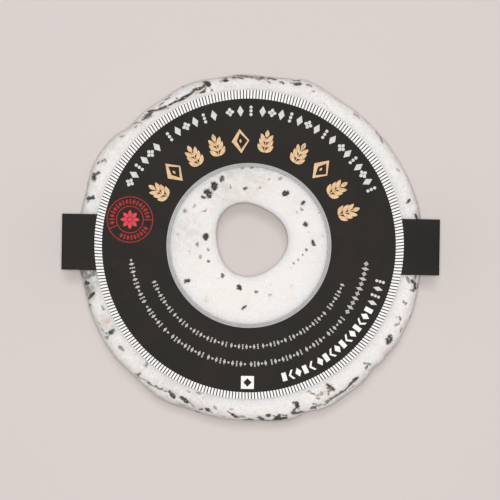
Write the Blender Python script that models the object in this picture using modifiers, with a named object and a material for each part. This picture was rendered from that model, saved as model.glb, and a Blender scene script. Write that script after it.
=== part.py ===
"""A ring-shaped goat's cheese: a low wheel with a hole through its middle and a white bloomy rind
flecked with vegetable ash, and the black card label that lies on it, whose two straps run out over
its sides and fold down.

Metres, +Z up. The origin is under the middle of the object, on the surface that it rests on. Clock
angles are seen from above: 0 points along +Y and they run clockwise, so that 90 points along +X.
"""

import math
import random

import bmesh
import bpy
from mathutils import Matrix, Vector, noise

MM = 0.001

# The wheel
RADIUS = 47.65 * MM
HEIGHT = 22.0 * MM
WIDEST_HEIGHT = 9.8 * MM  # where the sides stand out furthest
CREST = 0.53  # the top's highest line, as a share of the way from the hole to the edge
BASE_SINK = 0.5 * MM  # how much of the round section the flat base takes off
OUTER_SHOULDER = 6.0  # superellipse exponents: 2 is round, a large one is square
INNER_SHOULDER = 6.5
FOOT = 4.0
EDGE_BULGES = (  # clock angle, half-width in degrees, height in mm
    (8, 34, -0.3),
    (19, 7, 1.1),
    (58, 9, -0.3),
    (90, 14, -0.7),
    (117, 4, -0.3),
    (122, 12, 0.3),
    (134, 3, -0.4),
    (152, 14, 0.28),
    (154, 7, 0.55),
    (161, 3, -0.5),
    (168, 5, 0.45),
    (178, 4, -0.25),
    (190, 13, -0.4),
    (200, 4, -0.3),
    (211, 6, 0.6),
    (232, 7, 0.25),
    (248, 8, -0.3),
    (259, 6, -0.6),
    (289, 8, -0.35),
    (301, 12, 1.5),
    (315.5, 5, -0.8),
    (329, 4, -0.45),
    (337, 12, 0.85),
    (342, 5, 0.35),
    (357, 5, 0.4),
)

# The hole, a round-cornered triangle a little off the middle
HOLE_RADIUS = 9.8 * MM
HOLE_CORNERS, HOLE_CORNER_CLOCK = 0.5 * MM, 84
HOLE_OVAL, HOLE_OVAL_CLOCK = 0.3 * MM, 327
HOLE_CENTRE = Vector((-0.05 * MM, 2.50 * MM))
CORE_CUT = 1.3 * MM  # how much of the round section the cored wall takes off
CORE_DRAFT = 2.0  # degrees by which the wall widens downwards
LIP_ROUNDING = 0.3 * MM
WIDTH = RADIUS - HOLE_RADIUS

# The uneven rind
LUMP_SIZE, LUMP_HEIGHT = 11 * MM, 0.30 * MM
PIMPLE_SIZE, PIMPLE_HEIGHT = 4.5 * MM, 0.18 * MM
WINDOW_UNEVENNESS = 0.35  # inside the label's opening, as a share of the sides'
SMOOTH_MARGIN = 2 * MM  # in which it fades out towards the label and the base
TOP_FROM, TOP_TO = 0.75 * HEIGHT, 0.9 * HEIGHT  # the sides give way to the top between these

# Long folds across the outer shoulder: middle and half-width in degrees, then in mm the distance
# of their ends from the wheel's middle, their sag towards it, their depth and the drop of the lip
FOLDS = (
    (332, 15.5, 46.8, 1.8, 0.8, 0.7),
    (149.5, 11.5, 46.3, -0.5, 0.5, 0.5),
    (209, 11.5, 46.5, 1.5, 0.45, 0.5),
)
FOLD_WIDTH, FOLD_FADE = 0.9 * MM, 4 * MM
FOLD_FROM, FOLD_TO = 0.55 * HEIGHT, 0.75 * HEIGHT  # they deepen between these heights

# The card label
CARD = 0.4 * MM
GAP = 0.3 * MM
LABEL_CENTRE = Vector((-0.43 * MM, 1.08 * MM))
LABEL_TURN = -0.9  # degrees
LABEL_OUTER = 41.9 * MM
LABEL_INNER = 21.4 * MM
CARD_WARP, CARD_WARP_TURN = 0.3 * MM, 17  # the rise of its two high sides, and their turn
STRAP_WIDTH = 15.2 * MM
STRAP_REACH = 51.3 * MM
STRAP_ROOT = 3 * MM  # how far it runs into the ring
STRAP_FOLD_RADIUS = 1.0 * MM
STRAP_CLEARANCE = 4.0 * MM  # between its end and the surface that the wheel rests on
STRAP_LEAN = 3.0  # degrees inwards

# Flakes of ash on the top: clock angle, distance from the middle in mm, length and width in mm,
# and how far the length is turned from the direction round the wheel, in degrees
TOP_FLAKES = (
    (322.6, 18.9, 1.8, 1.3, 80),
    (329.8, 19.5, 1.6, 1.2, 60),
    (337.6, 20.4, 1.3, 0.9, 40),
    (32.6, 17.8, 1.5, 0.9, 70),
    (49.0, 18.8, 1.5, 0.7, 85),
    (66.4, 16.3, 1.1, 0.8, 10),
    (84.7, 17.0, 1.4, 0.8, 5),
    (186.1, 16.0, 1.6, 0.6, 42),
    (243.1, 19.3, 1.6, 0.8, 70),
    (284.9, 13.2, 1.2, 1.0, 0),
    (4.0, 47.0, 0.9, 0.8, 54),
    (15.8, 46.8, 1.1, 0.8, 16),
    (73.4, 44.8, 1.4, 0.8, -55),
    (79.3, 46.1, 1.7, 0.8, 16),
    (102.6, 46.0, 2.1, 0.8, 27),
    (123.5, 45.1, 1.9, 0.9, 12),
    (141.6, 45.7, 1.5, 0.8, 2),
    (150.1, 43.7, 2.2, 0.8, -68),
    (163.5, 44.5, 1.7, 0.8, -87),
    (165.1, 45.9, 1.5, 0.8, 64),
    (171.1, 46.9, 1.5, 0.8, 33),
    (176.2, 46.9, 1.4, 0.8, -49),
    (185.5, 45.9, 1.7, 0.8, -31),
    (194.9, 45.5, 1.0, 0.8, -14),
    (203.5, 45.1, 2.1, 0.8, -18),
    (207.9, 45.3, 1.2, 0.8, -28),
    (239.1, 44.5, 1.4, 1.0, -81),
    (253.5, 45.4, 2.0, 0.8, -59),
    (258.0, 45.5, 1.1, 0.8, 78),
    (287.5, 45.8, 1.7, 0.9, -67),
    (294.4, 47.1, 1.2, 0.8, 33),
    (321.9, 45.7, 2.5, 0.9, 0),
    (336.2, 44.9, 2.4, 0.8, 11),
    (341.7, 45.9, 2.1, 0.8, -7),
    (345.0, 46.5, 1.2, 0.8, -56),
)
# Smaller ones are strewn over the sides, largest first
FLAKE_SEED, SIDE_FLAKES = 7, 30
SIDE_BAND = (-6.0, 5.0)  # mm round the cross-section, upwards from where it stands out furthest
SIDE_LENGTHS, FLAKE_SLIMNESS = (1.0, 2.2), (0.45, 0.75)
FLAKE_SPACING = 4.5  # mm
STRAP_SHADOW = 14  # degrees each side of a strap that stay free of flakes
FLAKE_STANDS, FLAKE_SINKS = 0.20 * MM, 0.30 * MM
FLAKE_SEGMENTS, FLAKE_RINGS = 6, 3
FLAKE_RAGGEDNESS = 0.12

WHEEL_SEGMENTS, SECTION_SEGMENTS = 112, 40
BEND_WEIGHT = 10 * MM  # the length of straight section that counts as much as a bend of a radian
LABEL_SEGMENTS = 96
FOLD_STEPS, STRAP_STEPS = 5, 4

FINE_STEPS = 4000  # in which the cross-section is measured

RIND_COLOUR, RIND_ROUGHNESS = (0.84, 0.80, 0.77, 1.0), 0.75
CARD_COLOUR, CARD_ROUGHNESS = (0.028, 0.026, 0.024, 1.0), 0.55


def clear_scene():
    for obj in list(bpy.data.objects):
        bpy.data.objects.remove(obj, do_unlink=True)


def material(name, colour, roughness):
    made = bpy.data.materials.new(name)
    made.use_nodes = True
    shader = made.node_tree.nodes["Principled BSDF"]
    shader.inputs["Base Color"].default_value = colour
    shader.inputs["Roughness"].default_value = roughness
    shader.inputs["Metallic"].default_value = 0.0
    return made


def collection(name):
    made = bpy.data.collections.new(name)
    bpy.context.scene.collection.children.link(made)
    return made


def new_object(name, mesh, home):
    obj = bpy.data.objects.new(name, mesh)
    home.objects.link(obj)
    return obj


def apply_modifiers(obj):
    graph = bpy.context.evaluated_depsgraph_get()
    applied = bpy.data.meshes.new_from_object(obj.evaluated_get(graph))
    old = obj.data
    obj.modifiers.clear()
    obj.data = applied
    applied.name = obj.name
    bpy.data.meshes.remove(old)


def fuse(target, others, solver="EXACT"):
    """Joins a collection's objects to the target with one applied Boolean, and removes them."""
    union = target.modifiers.new("fuse", "BOOLEAN")
    union.operation = "UNION"
    union.solver = solver
    union.operand_type = "COLLECTION"
    union.collection = others
    apply_modifiers(target)
    for obj in list(others.objects):
        bpy.data.objects.remove(obj, do_unlink=True)
    bpy.data.collections.remove(others)


def finish(obj, look, sharp_degrees):
    obj.data.materials.clear()
    obj.data.materials.append(look)
    obj.data.shade_smooth()
    obj.data.set_sharp_from_angle(angle=math.radians(sharp_degrees))


# The wheel's shape


def direction(clock):
    return Vector((math.sin(math.radians(clock)), math.cos(math.radians(clock))))


def clock_of(x, y):
    return math.degrees(math.atan2(x, y)) % 360


def clock_gap(a, b):
    """Signed difference of two clock angles, from -180 to 180."""
    return (a - b + 180) % 360 - 180


def smooth_step(low, high, value):
    x = min(1.0, max(0.0, (value - low) / (high - low)))
    return x * x * (3 - 2 * x)


def edge_radius(clock):
    bulges = sum(
        height * MM * math.exp(-((clock_gap(clock, at) / width) ** 2))
        for at, width, height in EDGE_BULGES
    )
    return RADIUS + bulges


def hole_radius(clock):
    corners = HOLE_CORNERS * math.cos(3 * math.radians(clock - HOLE_CORNER_CLOCK))
    oval = HOLE_OVAL * math.cos(2 * math.radians(clock - HOLE_OVAL_CLOCK))
    return HOLE_RADIUS + corners + oval


def signed_power(value, exponent):
    return math.copysign(abs(value) ** exponent, value)


def round_section(turn):
    """A point of the wheel's cross-section before the hole is cored.

    It is the point's share of the way from hole to edge, and its height. turn runs from 0 at the
    edge over the top, through the hole and back under the wheel.
    """
    across, up = math.cos(turn), math.sin(turn)
    half_width = 1 - CREST if across > 0 else CREST + CORE_CUT / WIDTH
    if up < 0:
        exponent, half_height = FOOT, WIDEST_HEIGHT + BASE_SINK
    else:
        exponent = OUTER_SHOULDER if across > 0 else INNER_SHOULDER
        half_height = HEIGHT - WIDEST_HEIGHT
    share = CREST + half_width * signed_power(across, 2 / exponent)
    height = WIDEST_HEIGHT + half_height * signed_power(up, 2 / exponent)
    return share, height


def wall_share(height):
    """Where the hole's cored wall stands, as a share of the way from hole to edge."""
    return math.tan(math.radians(CORE_DRAFT)) * (HEIGHT - height) / WIDTH


def section(turn):
    """A point of the finished cross-section: its share of the way from hole to edge, and height."""
    share, height = round_section(turn)
    if share < CREST:
        wall = wall_share(height)
        share = (share + wall + math.hypot(share - wall, LIP_ROUNDING / WIDTH)) / 2
    return share, height


def core_turns():
    """The turns at the upper and lower ends of the hole's cored wall."""
    turns = [math.tau * step / FINE_STEPS for step in range(FINE_STEPS)]
    points = [(turn, *round_section(turn)) for turn in turns]
    cored = [turn for turn, share, height in points if share < wall_share(height)]
    return cored[0], cored[-1]


def spread_turns(count):
    """Turns that space points along the cross-section, closer together where it bends."""
    turns = [math.tau * step / FINE_STEPS for step in range(FINE_STEPS + 1)]
    points = [Vector((section(turn)[0] * WIDTH, section(turn)[1])) for turn in turns]
    sides = [after - before for before, after in zip(points, points[1:])]
    reached = [0.0]
    for before, side in zip(sides[-1:] + sides, sides):
        reached.append(reached[-1] + side.length + BEND_WEIGHT * before.angle(side, 0.0))
    chosen, step = [], 0
    for number in range(count):
        while reached[step] < reached[-1] * number / count:
            step += 1
        chosen.append(turns[step])
    for corner in core_turns():
        chosen[min(range(count), key=lambda number: abs(chosen[number] - corner))] = corner
    return chosen


def place(clock, share):
    """The point in plan at a share of the way from the hole's wall to the wheel's edge."""
    hole = HOLE_CENTRE + direction(clock) * hole_radius(clock)
    edge = direction(clock) * edge_radius(clock)
    return hole.lerp(edge, share)


def unevenness(spot, height):
    """How freely the rind's lumps show: not at all under the label and on the base."""
    from_label = (spot - LABEL_CENTRE).length
    under_label = smooth_step(LABEL_INNER - SMOOTH_MARGIN, LABEL_INNER, from_label)
    beyond_label = smooth_step(LABEL_OUTER, LABEL_OUTER + SMOOTH_MARGIN, from_label)
    on_top = WINDOW_UNEVENNESS * (1 - under_label) + beyond_label
    top = smooth_step(TOP_FROM, TOP_TO, height)
    above_base = smooth_step(0.0, SMOOTH_MARGIN, height)
    return (1 + (on_top - 1) * top) * above_base


def fold_drop(spot, height):
    """How far the long folds, and the lips outside them, lie below the round shoulder."""
    drop = 0.0
    for middle, half_width, end_radius, sag, depth, lip in FOLDS:
        gap = clock_gap(clock_of(spot.x, spot.y), middle)
        to_end = math.radians(half_width - abs(gap)) * end_radius * MM
        if to_end > 0:
            line = (end_radius - sag * (1 - (gap / half_width) ** 2)) * MM
            off = spot.length - line
            groove = depth * math.exp(-((off / FOLD_WIDTH) ** 2))
            beyond = lip * smooth_step(0, 2 * FOLD_WIDTH, off)
            drop += (groove + beyond) * smooth_step(0, FOLD_FADE, to_end)
    return drop * MM * smooth_step(FOLD_FROM, FOLD_TO, height)


def rind_point(clock, turn):
    """A point of the finished rind, and the direction that faces out of it."""
    step = math.tau / FINE_STEPS
    share, height = section(turn)
    before, after = section(turn - step), section(turn + step)
    width = edge_radius(clock) - hole_radius(clock)
    slope = Vector(((after[0] - before[0]) * width, after[1] - before[1])).normalized()
    spot = place(clock, share)
    heading = direction(clock)
    outward = Vector((heading.x * slope.y, heading.y * slope.y, -slope.x))
    point = Vector((spot.x, spot.y, height))
    lumps = LUMP_HEIGHT * noise.noise(point / LUMP_SIZE)
    lumps += PIMPLE_HEIGHT * noise.noise(point / PIMPLE_SIZE)
    point += outward * lumps * unevenness(spot, height)
    point.z = max(0.0, point.z - fold_drop(spot, height))
    return point, outward


def make_wheel(home):
    ring, tube = 0.03, 0.01
    bpy.ops.mesh.primitive_torus_add(
        major_segments=WHEEL_SEGMENTS,
        minor_segments=SECTION_SEGMENTS,
        major_radius=ring,
        minor_radius=tube,
    )
    wheel = bpy.context.active_object
    wheel.name = wheel.data.name = "cheese_wheel"
    turns = spread_turns(SECTION_SEGMENTS)
    for vertex in wheel.data.vertices:
        x, y, z = vertex.co
        angle = math.atan2(z, math.hypot(x, y) - ring) % math.tau
        step = round(angle / math.tau * SECTION_SEGMENTS) % SECTION_SEGMENTS
        vertex.co = rind_point(clock_of(x, y), turns[step])[0]
    for old_home in wheel.users_collection:
        old_home.objects.unlink(wheel)
    home.objects.link(wheel)
    return wheel


# The flakes of ash


def on_top(spot, rounds=8, close=1e-6):
    """The clock angle and turn that put a point of the top at a place in plan."""
    clock = clock_of(spot.x, spot.y)
    for _ in range(rounds):
        low, high = 0.0, math.pi
        while high - low > close:
            middle = (low + high) / 2
            if place(clock, section(middle)[0]).length > spot.length:
                low = middle
            else:
                high = middle
        reached = place(clock, section(low)[0])
        clock += clock_gap(clock_of(spot.x, spot.y), clock_of(reached.x, reached.y))
    return clock, low


def turn_on_side(length_up):
    """The turn at a length round the cross-section, upwards from its outermost point."""
    step = math.copysign(math.tau / FINE_STEPS, length_up)
    turn, length = 0.0, 0.0
    here = Vector((section(0)[0] * WIDTH, section(0)[1]))
    while length < abs(length_up):
        turn += step
        there = Vector((section(turn)[0] * WIDTH, section(turn)[1]))
        length += (there - here).length
        here = there
    return turn


def side_flakes():
    """Clock angle, turn, length, width and twist of the flakes on the sides, largest first."""
    draw = random.Random(FLAKE_SEED)
    lengths = sorted((draw.uniform(*SIDE_LENGTHS) for _ in range(SIDE_FLAKES)), reverse=True)
    chosen, taken = [], []
    while len(chosen) < SIDE_FLAKES:
        clock, length_up = draw.uniform(0, 360), draw.uniform(*SIDE_BAND)
        length = lengths[len(chosen)]
        width, turned = length * draw.uniform(*FLAKE_SLIMNESS), draw.uniform(0, 180)
        spot = Vector((math.radians(clock) * RADIUS / MM, length_up))
        strap = min(abs(clock_gap(clock, 90)), abs(clock_gap(clock, 270)))
        if strap > STRAP_SHADOW and all((spot - other).length > FLAKE_SPACING for other in taken):
            taken.append(spot)
            chosen.append((clock, turn_on_side(length_up * MM), length, width, turned))
    return chosen


def flakes():
    """Clock angle, turn, length, width and twist of every flake."""
    top_flakes = [
        (*on_top(direction(clock) * radius * MM), length, width, turned)
        for clock, radius, length, width, turned in TOP_FLAKES
    ]
    return top_flakes + side_flakes()


def make_flake(name, flake, home):
    """A flat ragged pebble, half sunk in the rind."""
    clock, turn, length, width, turned = flake
    spot, up = rind_point(clock, turn)
    shape = bmesh.new()
    bmesh.ops.create_uvsphere(shape, u_segments=FLAKE_SEGMENTS, v_segments=FLAKE_RINGS, radius=0.5)
    for vertex in shape.verts:
        vertex.co += FLAKE_RAGGEDNESS * noise.noise_vector(vertex.co * 3 + Vector((clock, turn, 0)))
    round_wheel = direction(clock + 90).to_3d()
    long_way = (round_wheel - up * round_wheel.dot(up)).normalized()
    long_way = Matrix.Rotation(math.radians(turned), 3, up) @ long_way
    axes = Matrix((long_way, up.cross(long_way), up)).transposed().to_4x4()
    thickness = FLAKE_STANDS + FLAKE_SINKS
    size = Matrix.Diagonal((length * MM, width * MM, thickness, 1))
    middle = spot + up * (FLAKE_STANDS - thickness / 2)
    shape.transform(Matrix.Translation(middle) @ axes @ size)
    mesh = bpy.data.meshes.new(name)
    shape.to_mesh(mesh)
    shape.free()
    return new_object(name, mesh, home)


def fuse_flakes(wheel):
    pebbles = collection("ash_flakes")
    noise.seed_set(FLAKE_SEED)
    for number, flake in enumerate(flakes()):
        make_flake(f"flake_{number}", flake, pebbles)
    fuse(wheel, pebbles, solver="MANIFOLD")


# The label


def profile(name, points, closed, home):
    """A line of edges in the XZ plane, to be turned or drawn out by a Screw modifier."""
    edges = [(n, n + 1) for n in range(len(points) - 1)]
    if closed:
        edges.append((len(points) - 1, 0))
    mesh = bpy.data.meshes.new(name)
    mesh.from_pydata([(x, 0, z) for x, z in points], edges, [])
    return new_object(name, mesh, home)


def make_ring(home):
    bottom = HEIGHT + GAP
    corners = [
        (LABEL_OUTER, bottom + CARD),
        (LABEL_OUTER, bottom),
        (LABEL_INNER, bottom),
        (LABEL_INNER, bottom + CARD),
    ]
    ring = profile("label", corners, True, home)
    turn = ring.modifiers.new("turn", "SCREW")
    turn.steps = turn.render_steps = LABEL_SEGMENTS
    turn.use_merge_vertices = True
    turn.merge_threshold = 0.00001
    apply_modifiers(ring)
    return ring


def strap_line(side):
    """The middle of the card in the XZ plane: out from the ring, round the fold and down."""
    level = HEIGHT + GAP + CARD / 2
    reach = STRAP_REACH - side * LABEL_CENTRE.x
    radius = STRAP_FOLD_RADIUS - CARD / 2
    bend = Vector((reach - STRAP_FOLD_RADIUS, level - radius))
    line = [Vector((LABEL_OUTER - STRAP_ROOT, level)), Vector((LABEL_OUTER + STRAP_ROOT, level))]
    for step in range(FOLD_STEPS + 1):
        angle = math.radians(90 - (90 - STRAP_LEAN) * step / FOLD_STEPS)
        line.append(bend + radius * Vector((math.cos(angle), math.sin(angle))))
    drop = line[-1].y - STRAP_CLEARANCE
    line.append(line[-1] - Vector((math.tan(math.radians(STRAP_LEAN)) * drop, drop)))
    return [(side * point.x, point.y) for point in line]


def make_strap(side, home):
    strap = profile(f"strap_{side}", strap_line(side), False, home)
    draw_out = strap.modifiers.new("width", "SCREW")
    draw_out.axis = "Y"
    draw_out.angle = 0.0
    draw_out.screw_offset = STRAP_WIDTH
    draw_out.steps = draw_out.render_steps = STRAP_STEPS
    thicken = strap.modifiers.new("card", "SOLIDIFY")
    thicken.thickness = CARD
    thicken.offset = 0.0
    thicken.use_even_offset = True
    apply_modifiers(strap)
    strap.data.transform(Matrix.Translation((0, -STRAP_WIDTH / 2, 0)))
    return strap


def face_out(obj):
    shape = bmesh.new()
    shape.from_mesh(obj.data)
    bmesh.ops.recalc_face_normals(shape, faces=shape.faces)
    shape.to_mesh(obj.data)
    shape.free()


def card_warp(x, y):
    """How far the card, which is a little bent, stands off the rind."""
    high_sides = (1 + math.cos(2 * (math.atan2(y, x) + math.radians(CARD_WARP_TURN)))) / 2
    return CARD_WARP * high_sides * (math.hypot(x, y) / LABEL_OUTER) ** 2


def make_label(home):
    label = make_ring(home)
    straps = collection("straps")
    for side in (-1, 1):
        face_out(make_strap(side, straps))
    fuse(label, straps)
    for vertex in label.data.vertices:
        vertex.co.z += card_warp(vertex.co.x, vertex.co.y)
    turn = Matrix.Rotation(math.radians(LABEL_TURN), 4, "Z")
    label.data.transform(Matrix.Translation(LABEL_CENTRE.to_3d()) @ turn)
    return label


def centre_on_origin(objects):
    """Moves the object's middle, in plan, over the origin."""
    points = [vertex.co for obj in objects for vertex in obj.data.vertices]
    middle = [(min(p[axis] for p in points) + max(p[axis] for p in points)) / 2 for axis in (0, 1)]
    for obj in objects:
        obj.data.transform(Matrix.Translation((-middle[0], -middle[1], 0)))


def main():
    clear_scene()
    home = collection("goat_cheese_wheel")
    wheel = make_wheel(home)
    fuse_flakes(wheel)
    finish(wheel, material("rind", RIND_COLOUR, RIND_ROUGHNESS), sharp_degrees=60)
    label = make_label(home)
    finish(label, material("label_card", CARD_COLOUR, CARD_ROUGHNESS), sharp_degrees=30)
    centre_on_origin((wheel, label))


main()
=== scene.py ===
"""Looks for a ring-shaped goat's cheese with a black card label, seen from straight above.

The wheel's bloomy rind is a fine mesh of the same shape as the CAD solid, with ash lying in its
creases and chips of ash half sunk in it. The label is one sheet of black card with two straps. Its
print is thin layers of ink: a reeded ring, a silver rim and plain ornaments.

Lengths in named values are in millimetres unless they say otherwise; MM turns them into metres.
Clock angles are seen from above: 0 points along +Y and they run clockwise.
"""

import math
import random

import bmesh
import bpy
import numpy as np
from mathutils import Matrix, Vector, kdtree, noise


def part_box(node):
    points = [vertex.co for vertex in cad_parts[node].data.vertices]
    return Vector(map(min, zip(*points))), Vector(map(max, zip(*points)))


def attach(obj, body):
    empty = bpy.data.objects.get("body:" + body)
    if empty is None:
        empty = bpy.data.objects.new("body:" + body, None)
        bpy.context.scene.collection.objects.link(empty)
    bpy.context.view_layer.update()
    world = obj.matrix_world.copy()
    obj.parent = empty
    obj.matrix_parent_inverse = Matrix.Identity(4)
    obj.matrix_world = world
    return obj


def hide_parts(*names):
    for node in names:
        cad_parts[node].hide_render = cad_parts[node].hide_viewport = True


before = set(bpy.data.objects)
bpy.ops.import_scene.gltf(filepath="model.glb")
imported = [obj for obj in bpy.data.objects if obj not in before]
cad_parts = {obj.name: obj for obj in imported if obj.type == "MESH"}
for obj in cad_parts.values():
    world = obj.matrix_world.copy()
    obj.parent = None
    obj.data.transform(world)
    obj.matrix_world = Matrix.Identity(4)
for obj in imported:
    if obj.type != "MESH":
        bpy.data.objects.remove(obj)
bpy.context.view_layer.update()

MM = 0.001

# The wheel, as in the CAD
RADIUS = 47.65
HEIGHT = 22.0
WIDEST_HEIGHT = 9.8
CREST = 0.53
BASE_SINK = 0.5
OUTER_SHOULDER, INNER_SHOULDER, FOOT = 6.0, 6.5, 4.0
EDGE_BULGES = (  # clock angle, half-width in degrees, height
    (8, 34, -0.3), (19, 7, 1.1), (58, 9, -0.3), (90, 14, -0.7), (117, 4, -0.3), (122, 12, 0.3),
    (134, 3, -0.4), (152, 14, 0.28), (154, 7, 0.55), (161, 3, -0.5), (168, 5, 0.45), (178, 4, -0.25),
    (190, 13, -0.4), (200, 4, -0.3), (211, 6, 0.6), (232, 7, 0.25), (248, 8, -0.3), (259, 6, -0.6),
    (289, 8, -0.35), (301, 12, 1.5), (315.5, 5, -0.8), (329, 4, -0.45), (337, 12, 0.85), (342, 5, 0.35),
    (357, 5, 0.4),
)
HOLE_RADIUS = 9.8
HOLE_CORNERS, HOLE_CORNER_CLOCK = 0.5, 84
HOLE_OVAL, HOLE_OVAL_CLOCK = 0.3, 327
HOLE_CENTRE = Vector((-0.05, 2.50))
CORE_CUT, CORE_DRAFT = 1.3, 2.0
LUMP_SIZE, LUMP_HEIGHT = 11, 0.30
PIMPLE_SIZE, PIMPLE_HEIGHT = 4.5, 0.18
WINDOW_UNEVENNESS, SMOOTH_MARGIN = 0.35, 2.0
TOP_FROM, TOP_TO = 0.75 * HEIGHT, 0.9 * HEIGHT
FOLDS = (  # middle and half-width in degrees, ends' distance from the middle, sag, depth, lip
    (332, 15.5, 46.8, 1.8, 0.8, 0.7),
    (149.5, 11.5, 46.3, -0.5, 0.5, 0.5),
    (209, 11.5, 46.5, 1.5, 0.45, 0.5),
)
FOLD_WIDTH, FOLD_FADE = 0.9, 4.0
FOLD_FROM, FOLD_TO = 0.55 * HEIGHT, 0.75 * HEIGHT

# The label, as in the CAD
CARD, GAP = 0.4, 0.3
LABEL_CENTRE = Vector((-0.43, 1.08))
LABEL_TURN = -0.9  # degrees
LABEL_OUTER, LABEL_INNER = 41.9, 21.4
CARD_WARP, CARD_WARP_TURN = 0.3, 17
STRAP_WIDTH, STRAP_REACH, STRAP_ROOT = 15.2, 51.3, 3.0
STRAP_FOLD_RADIUS, STRAP_CLEARANCE, STRAP_LEAN = 1.0, 4.0, 3.0
CARD_BOTTOM = HEIGHT + GAP
CARD_TOP = CARD_BOTTOM + CARD

# Flakes of ash, placed as in the CAD: clock angle, distance from the middle, length, width, and how
# far the length is turned from the direction round the wheel, in degrees
TOP_FLAKES = (
    (322.6, 18.9, 1.8, 1.3, 80), (329.8, 19.5, 1.6, 1.2, 60), (337.6, 20.4, 1.3, 0.9, 40),
    (32.6, 17.8, 1.5, 0.9, 70), (49.0, 18.8, 1.5, 0.7, 85), (66.4, 16.3, 1.1, 0.8, 10),
    (84.7, 17.0, 1.4, 0.8, 5), (186.1, 16.0, 1.6, 0.6, 42), (243.1, 19.3, 1.6, 0.8, 70),
    (284.9, 13.2, 1.2, 1.0, 0), (4.0, 47.0, 0.9, 0.8, 54), (15.8, 46.8, 1.1, 0.8, 16),
    (73.4, 44.8, 1.4, 0.8, -55), (79.3, 46.1, 1.7, 0.8, 16), (102.6, 46.0, 2.1, 0.8, 27),
    (123.5, 45.1, 1.9, 0.9, 12), (141.6, 45.7, 1.5, 0.8, 2), (150.1, 43.7, 2.2, 0.8, -68),
    (163.5, 44.5, 1.7, 0.8, -87), (165.1, 45.9, 1.5, 0.8, 64), (171.1, 46.9, 1.5, 0.8, 33),
    (176.2, 46.9, 1.4, 0.8, -49), (185.5, 45.9, 1.7, 0.8, -31), (194.9, 45.5, 1.0, 0.8, -14),
    (203.5, 45.1, 2.1, 0.8, -18), (207.9, 45.3, 1.2, 0.8, -28), (239.1, 44.5, 1.4, 1.0, -81),
    (253.5, 45.4, 2.0, 0.8, -59), (258.0, 45.5, 1.1, 0.8, 78), (287.5, 45.8, 1.7, 0.9, -67),
    (294.4, 47.1, 1.2, 0.8, 33), (321.9, 45.7, 2.5, 0.9, 0), (336.2, 44.9, 2.4, 0.8, 11),
    (341.7, 45.9, 2.1, 0.8, -7), (345.0, 46.5, 1.2, 0.8, -56),
)
FLAKE_SEED, SIDE_FLAKES = 7, 30
SIDE_BAND = (-6.0, 5.0)  # round the cross-section, upwards from where it stands out furthest
SIDE_LENGTHS, FLAKE_SLIMNESS = (1.0, 2.2), (0.45, 0.75)
FLAKE_SPACING, STRAP_SHADOW = 4.5, 14
# The chips are thinner and more ragged than the flakes of the CAD
FLAKE_STANDS, FLAKE_SINKS, CHIP_SLIMMING = 0.12, 0.30, 0.8
CHIP_ROUGHNESS = ((2.2, 0.341), (6, 0.1364))  # waves to its length, and their reach
CHIP_WAIST, CHIP_BEND = 1.2, 1.6

# Finer than the CAD: small dents in the edge, the lip, the grain, the meshes and the cut card
EDGE_DENTS = ((15, 1.3, -0.35), (128, 1.5, -0.35), (134.5, 1.6, -0.3))  # as EDGE_BULGES
LIP_ROUNDING = 0.005
CORED_UNEVENNESS, CORED_FROM, CORED_TO = 0.1, 0.8, 3.5  # and how far from the hole it fades
GRAINS = ((2.6, 0.12), (1.5, 0.10), (0.8, 0.05))  # size and height
GRAIN_SINKS = 0.12  # so that the grain stays within the CAD's outline
CREASE_DEPTH = 0.16
ROUND_STEPS = 900
CARD_STEPS, RING_BANDS, FOLD_STEPS, STRAP_STEPS = 360, 10, 10, 12
CARD_EDGE = 0.05
PRINT_SHIFT = Vector((-0.06, -0.26))  # the print and the inner cut lie a little off the card's middle

# The photograph's view: the camera hangs over the middle of the picture, +Y up
CAMERA_DISTANCE = 600.0
FRAME_WIDTH = 135.6  # at the height of the card's top
FRAME_MIDDLE = Vector((-0.19, -0.41))
SENSOR = 36.0
PICTURE = 500  # pixels
PIXEL = FRAME_WIDTH / PICTURE

# The studio, in metres and watts. The key hangs just above the camera, as a flash would, so that no
# shadow shows beside the hole's lip.
KEY = (Vector((0.0, 0.001, 0.64)), 0.04, 2.11)  # place, width and power
SKY = (Vector((0.0, 0.19, 1.29)), 0.22, 4.6)
ROOM_COLOUR, ROOM_STRENGTH = (1.0, 0.99, 0.98, 1), 0.32
FLOOR_SIZE = 2.0

label_low, label_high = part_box("label")
card_middle = (label_low + label_high).to_2d() / 2 / MM
SHIFT = card_middle - Vector((0, LABEL_CENTRE.y))  # from the wheel's own middle to the CAD's origin


def new_object(name, data):
    obj = bpy.data.objects.new(name, data)
    bpy.context.scene.collection.objects.link(obj)
    return obj


def object_of(name, shape):
    """An object with the mesh of a bmesh, which is freed."""
    mesh = bpy.data.meshes.new(name)
    shape.to_mesh(mesh)
    shape.free()
    return new_object(name, mesh)


# Shape of the wheel


def direction(clock):
    return Vector((math.sin(math.radians(clock)), math.cos(math.radians(clock))))


def unit(angle):
    """A unit vector at an angle in degrees, counter-clockwise from +X."""
    return Vector((math.cos(math.radians(angle)), math.sin(math.radians(angle))))


def clock_of(spot):
    return math.degrees(math.atan2(spot.x, spot.y)) % 360


def clock_gap(a, b):
    """Signed difference of two clock angles, from -180 to 180."""
    return (a - b + 180) % 360 - 180


def smooth_step(low, high, value):
    x = min(1.0, max(0.0, (value - low) / (high - low)))
    return x * x * (3 - 2 * x)


def edge_radius(clock):
    return RADIUS + sum(
        height * math.exp(-((clock_gap(clock, at) / width) ** 2))
        for at, width, height in EDGE_BULGES + EDGE_DENTS
    )


def hole_radius(clock):
    corners = HOLE_CORNERS * math.cos(3 * math.radians(clock - HOLE_CORNER_CLOCK))
    oval = HOLE_OVAL * math.cos(2 * math.radians(clock - HOLE_OVAL_CLOCK))
    return HOLE_RADIUS + corners + oval


def signed_power(value, exponent):
    return math.copysign(abs(value) ** exponent, value)


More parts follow.
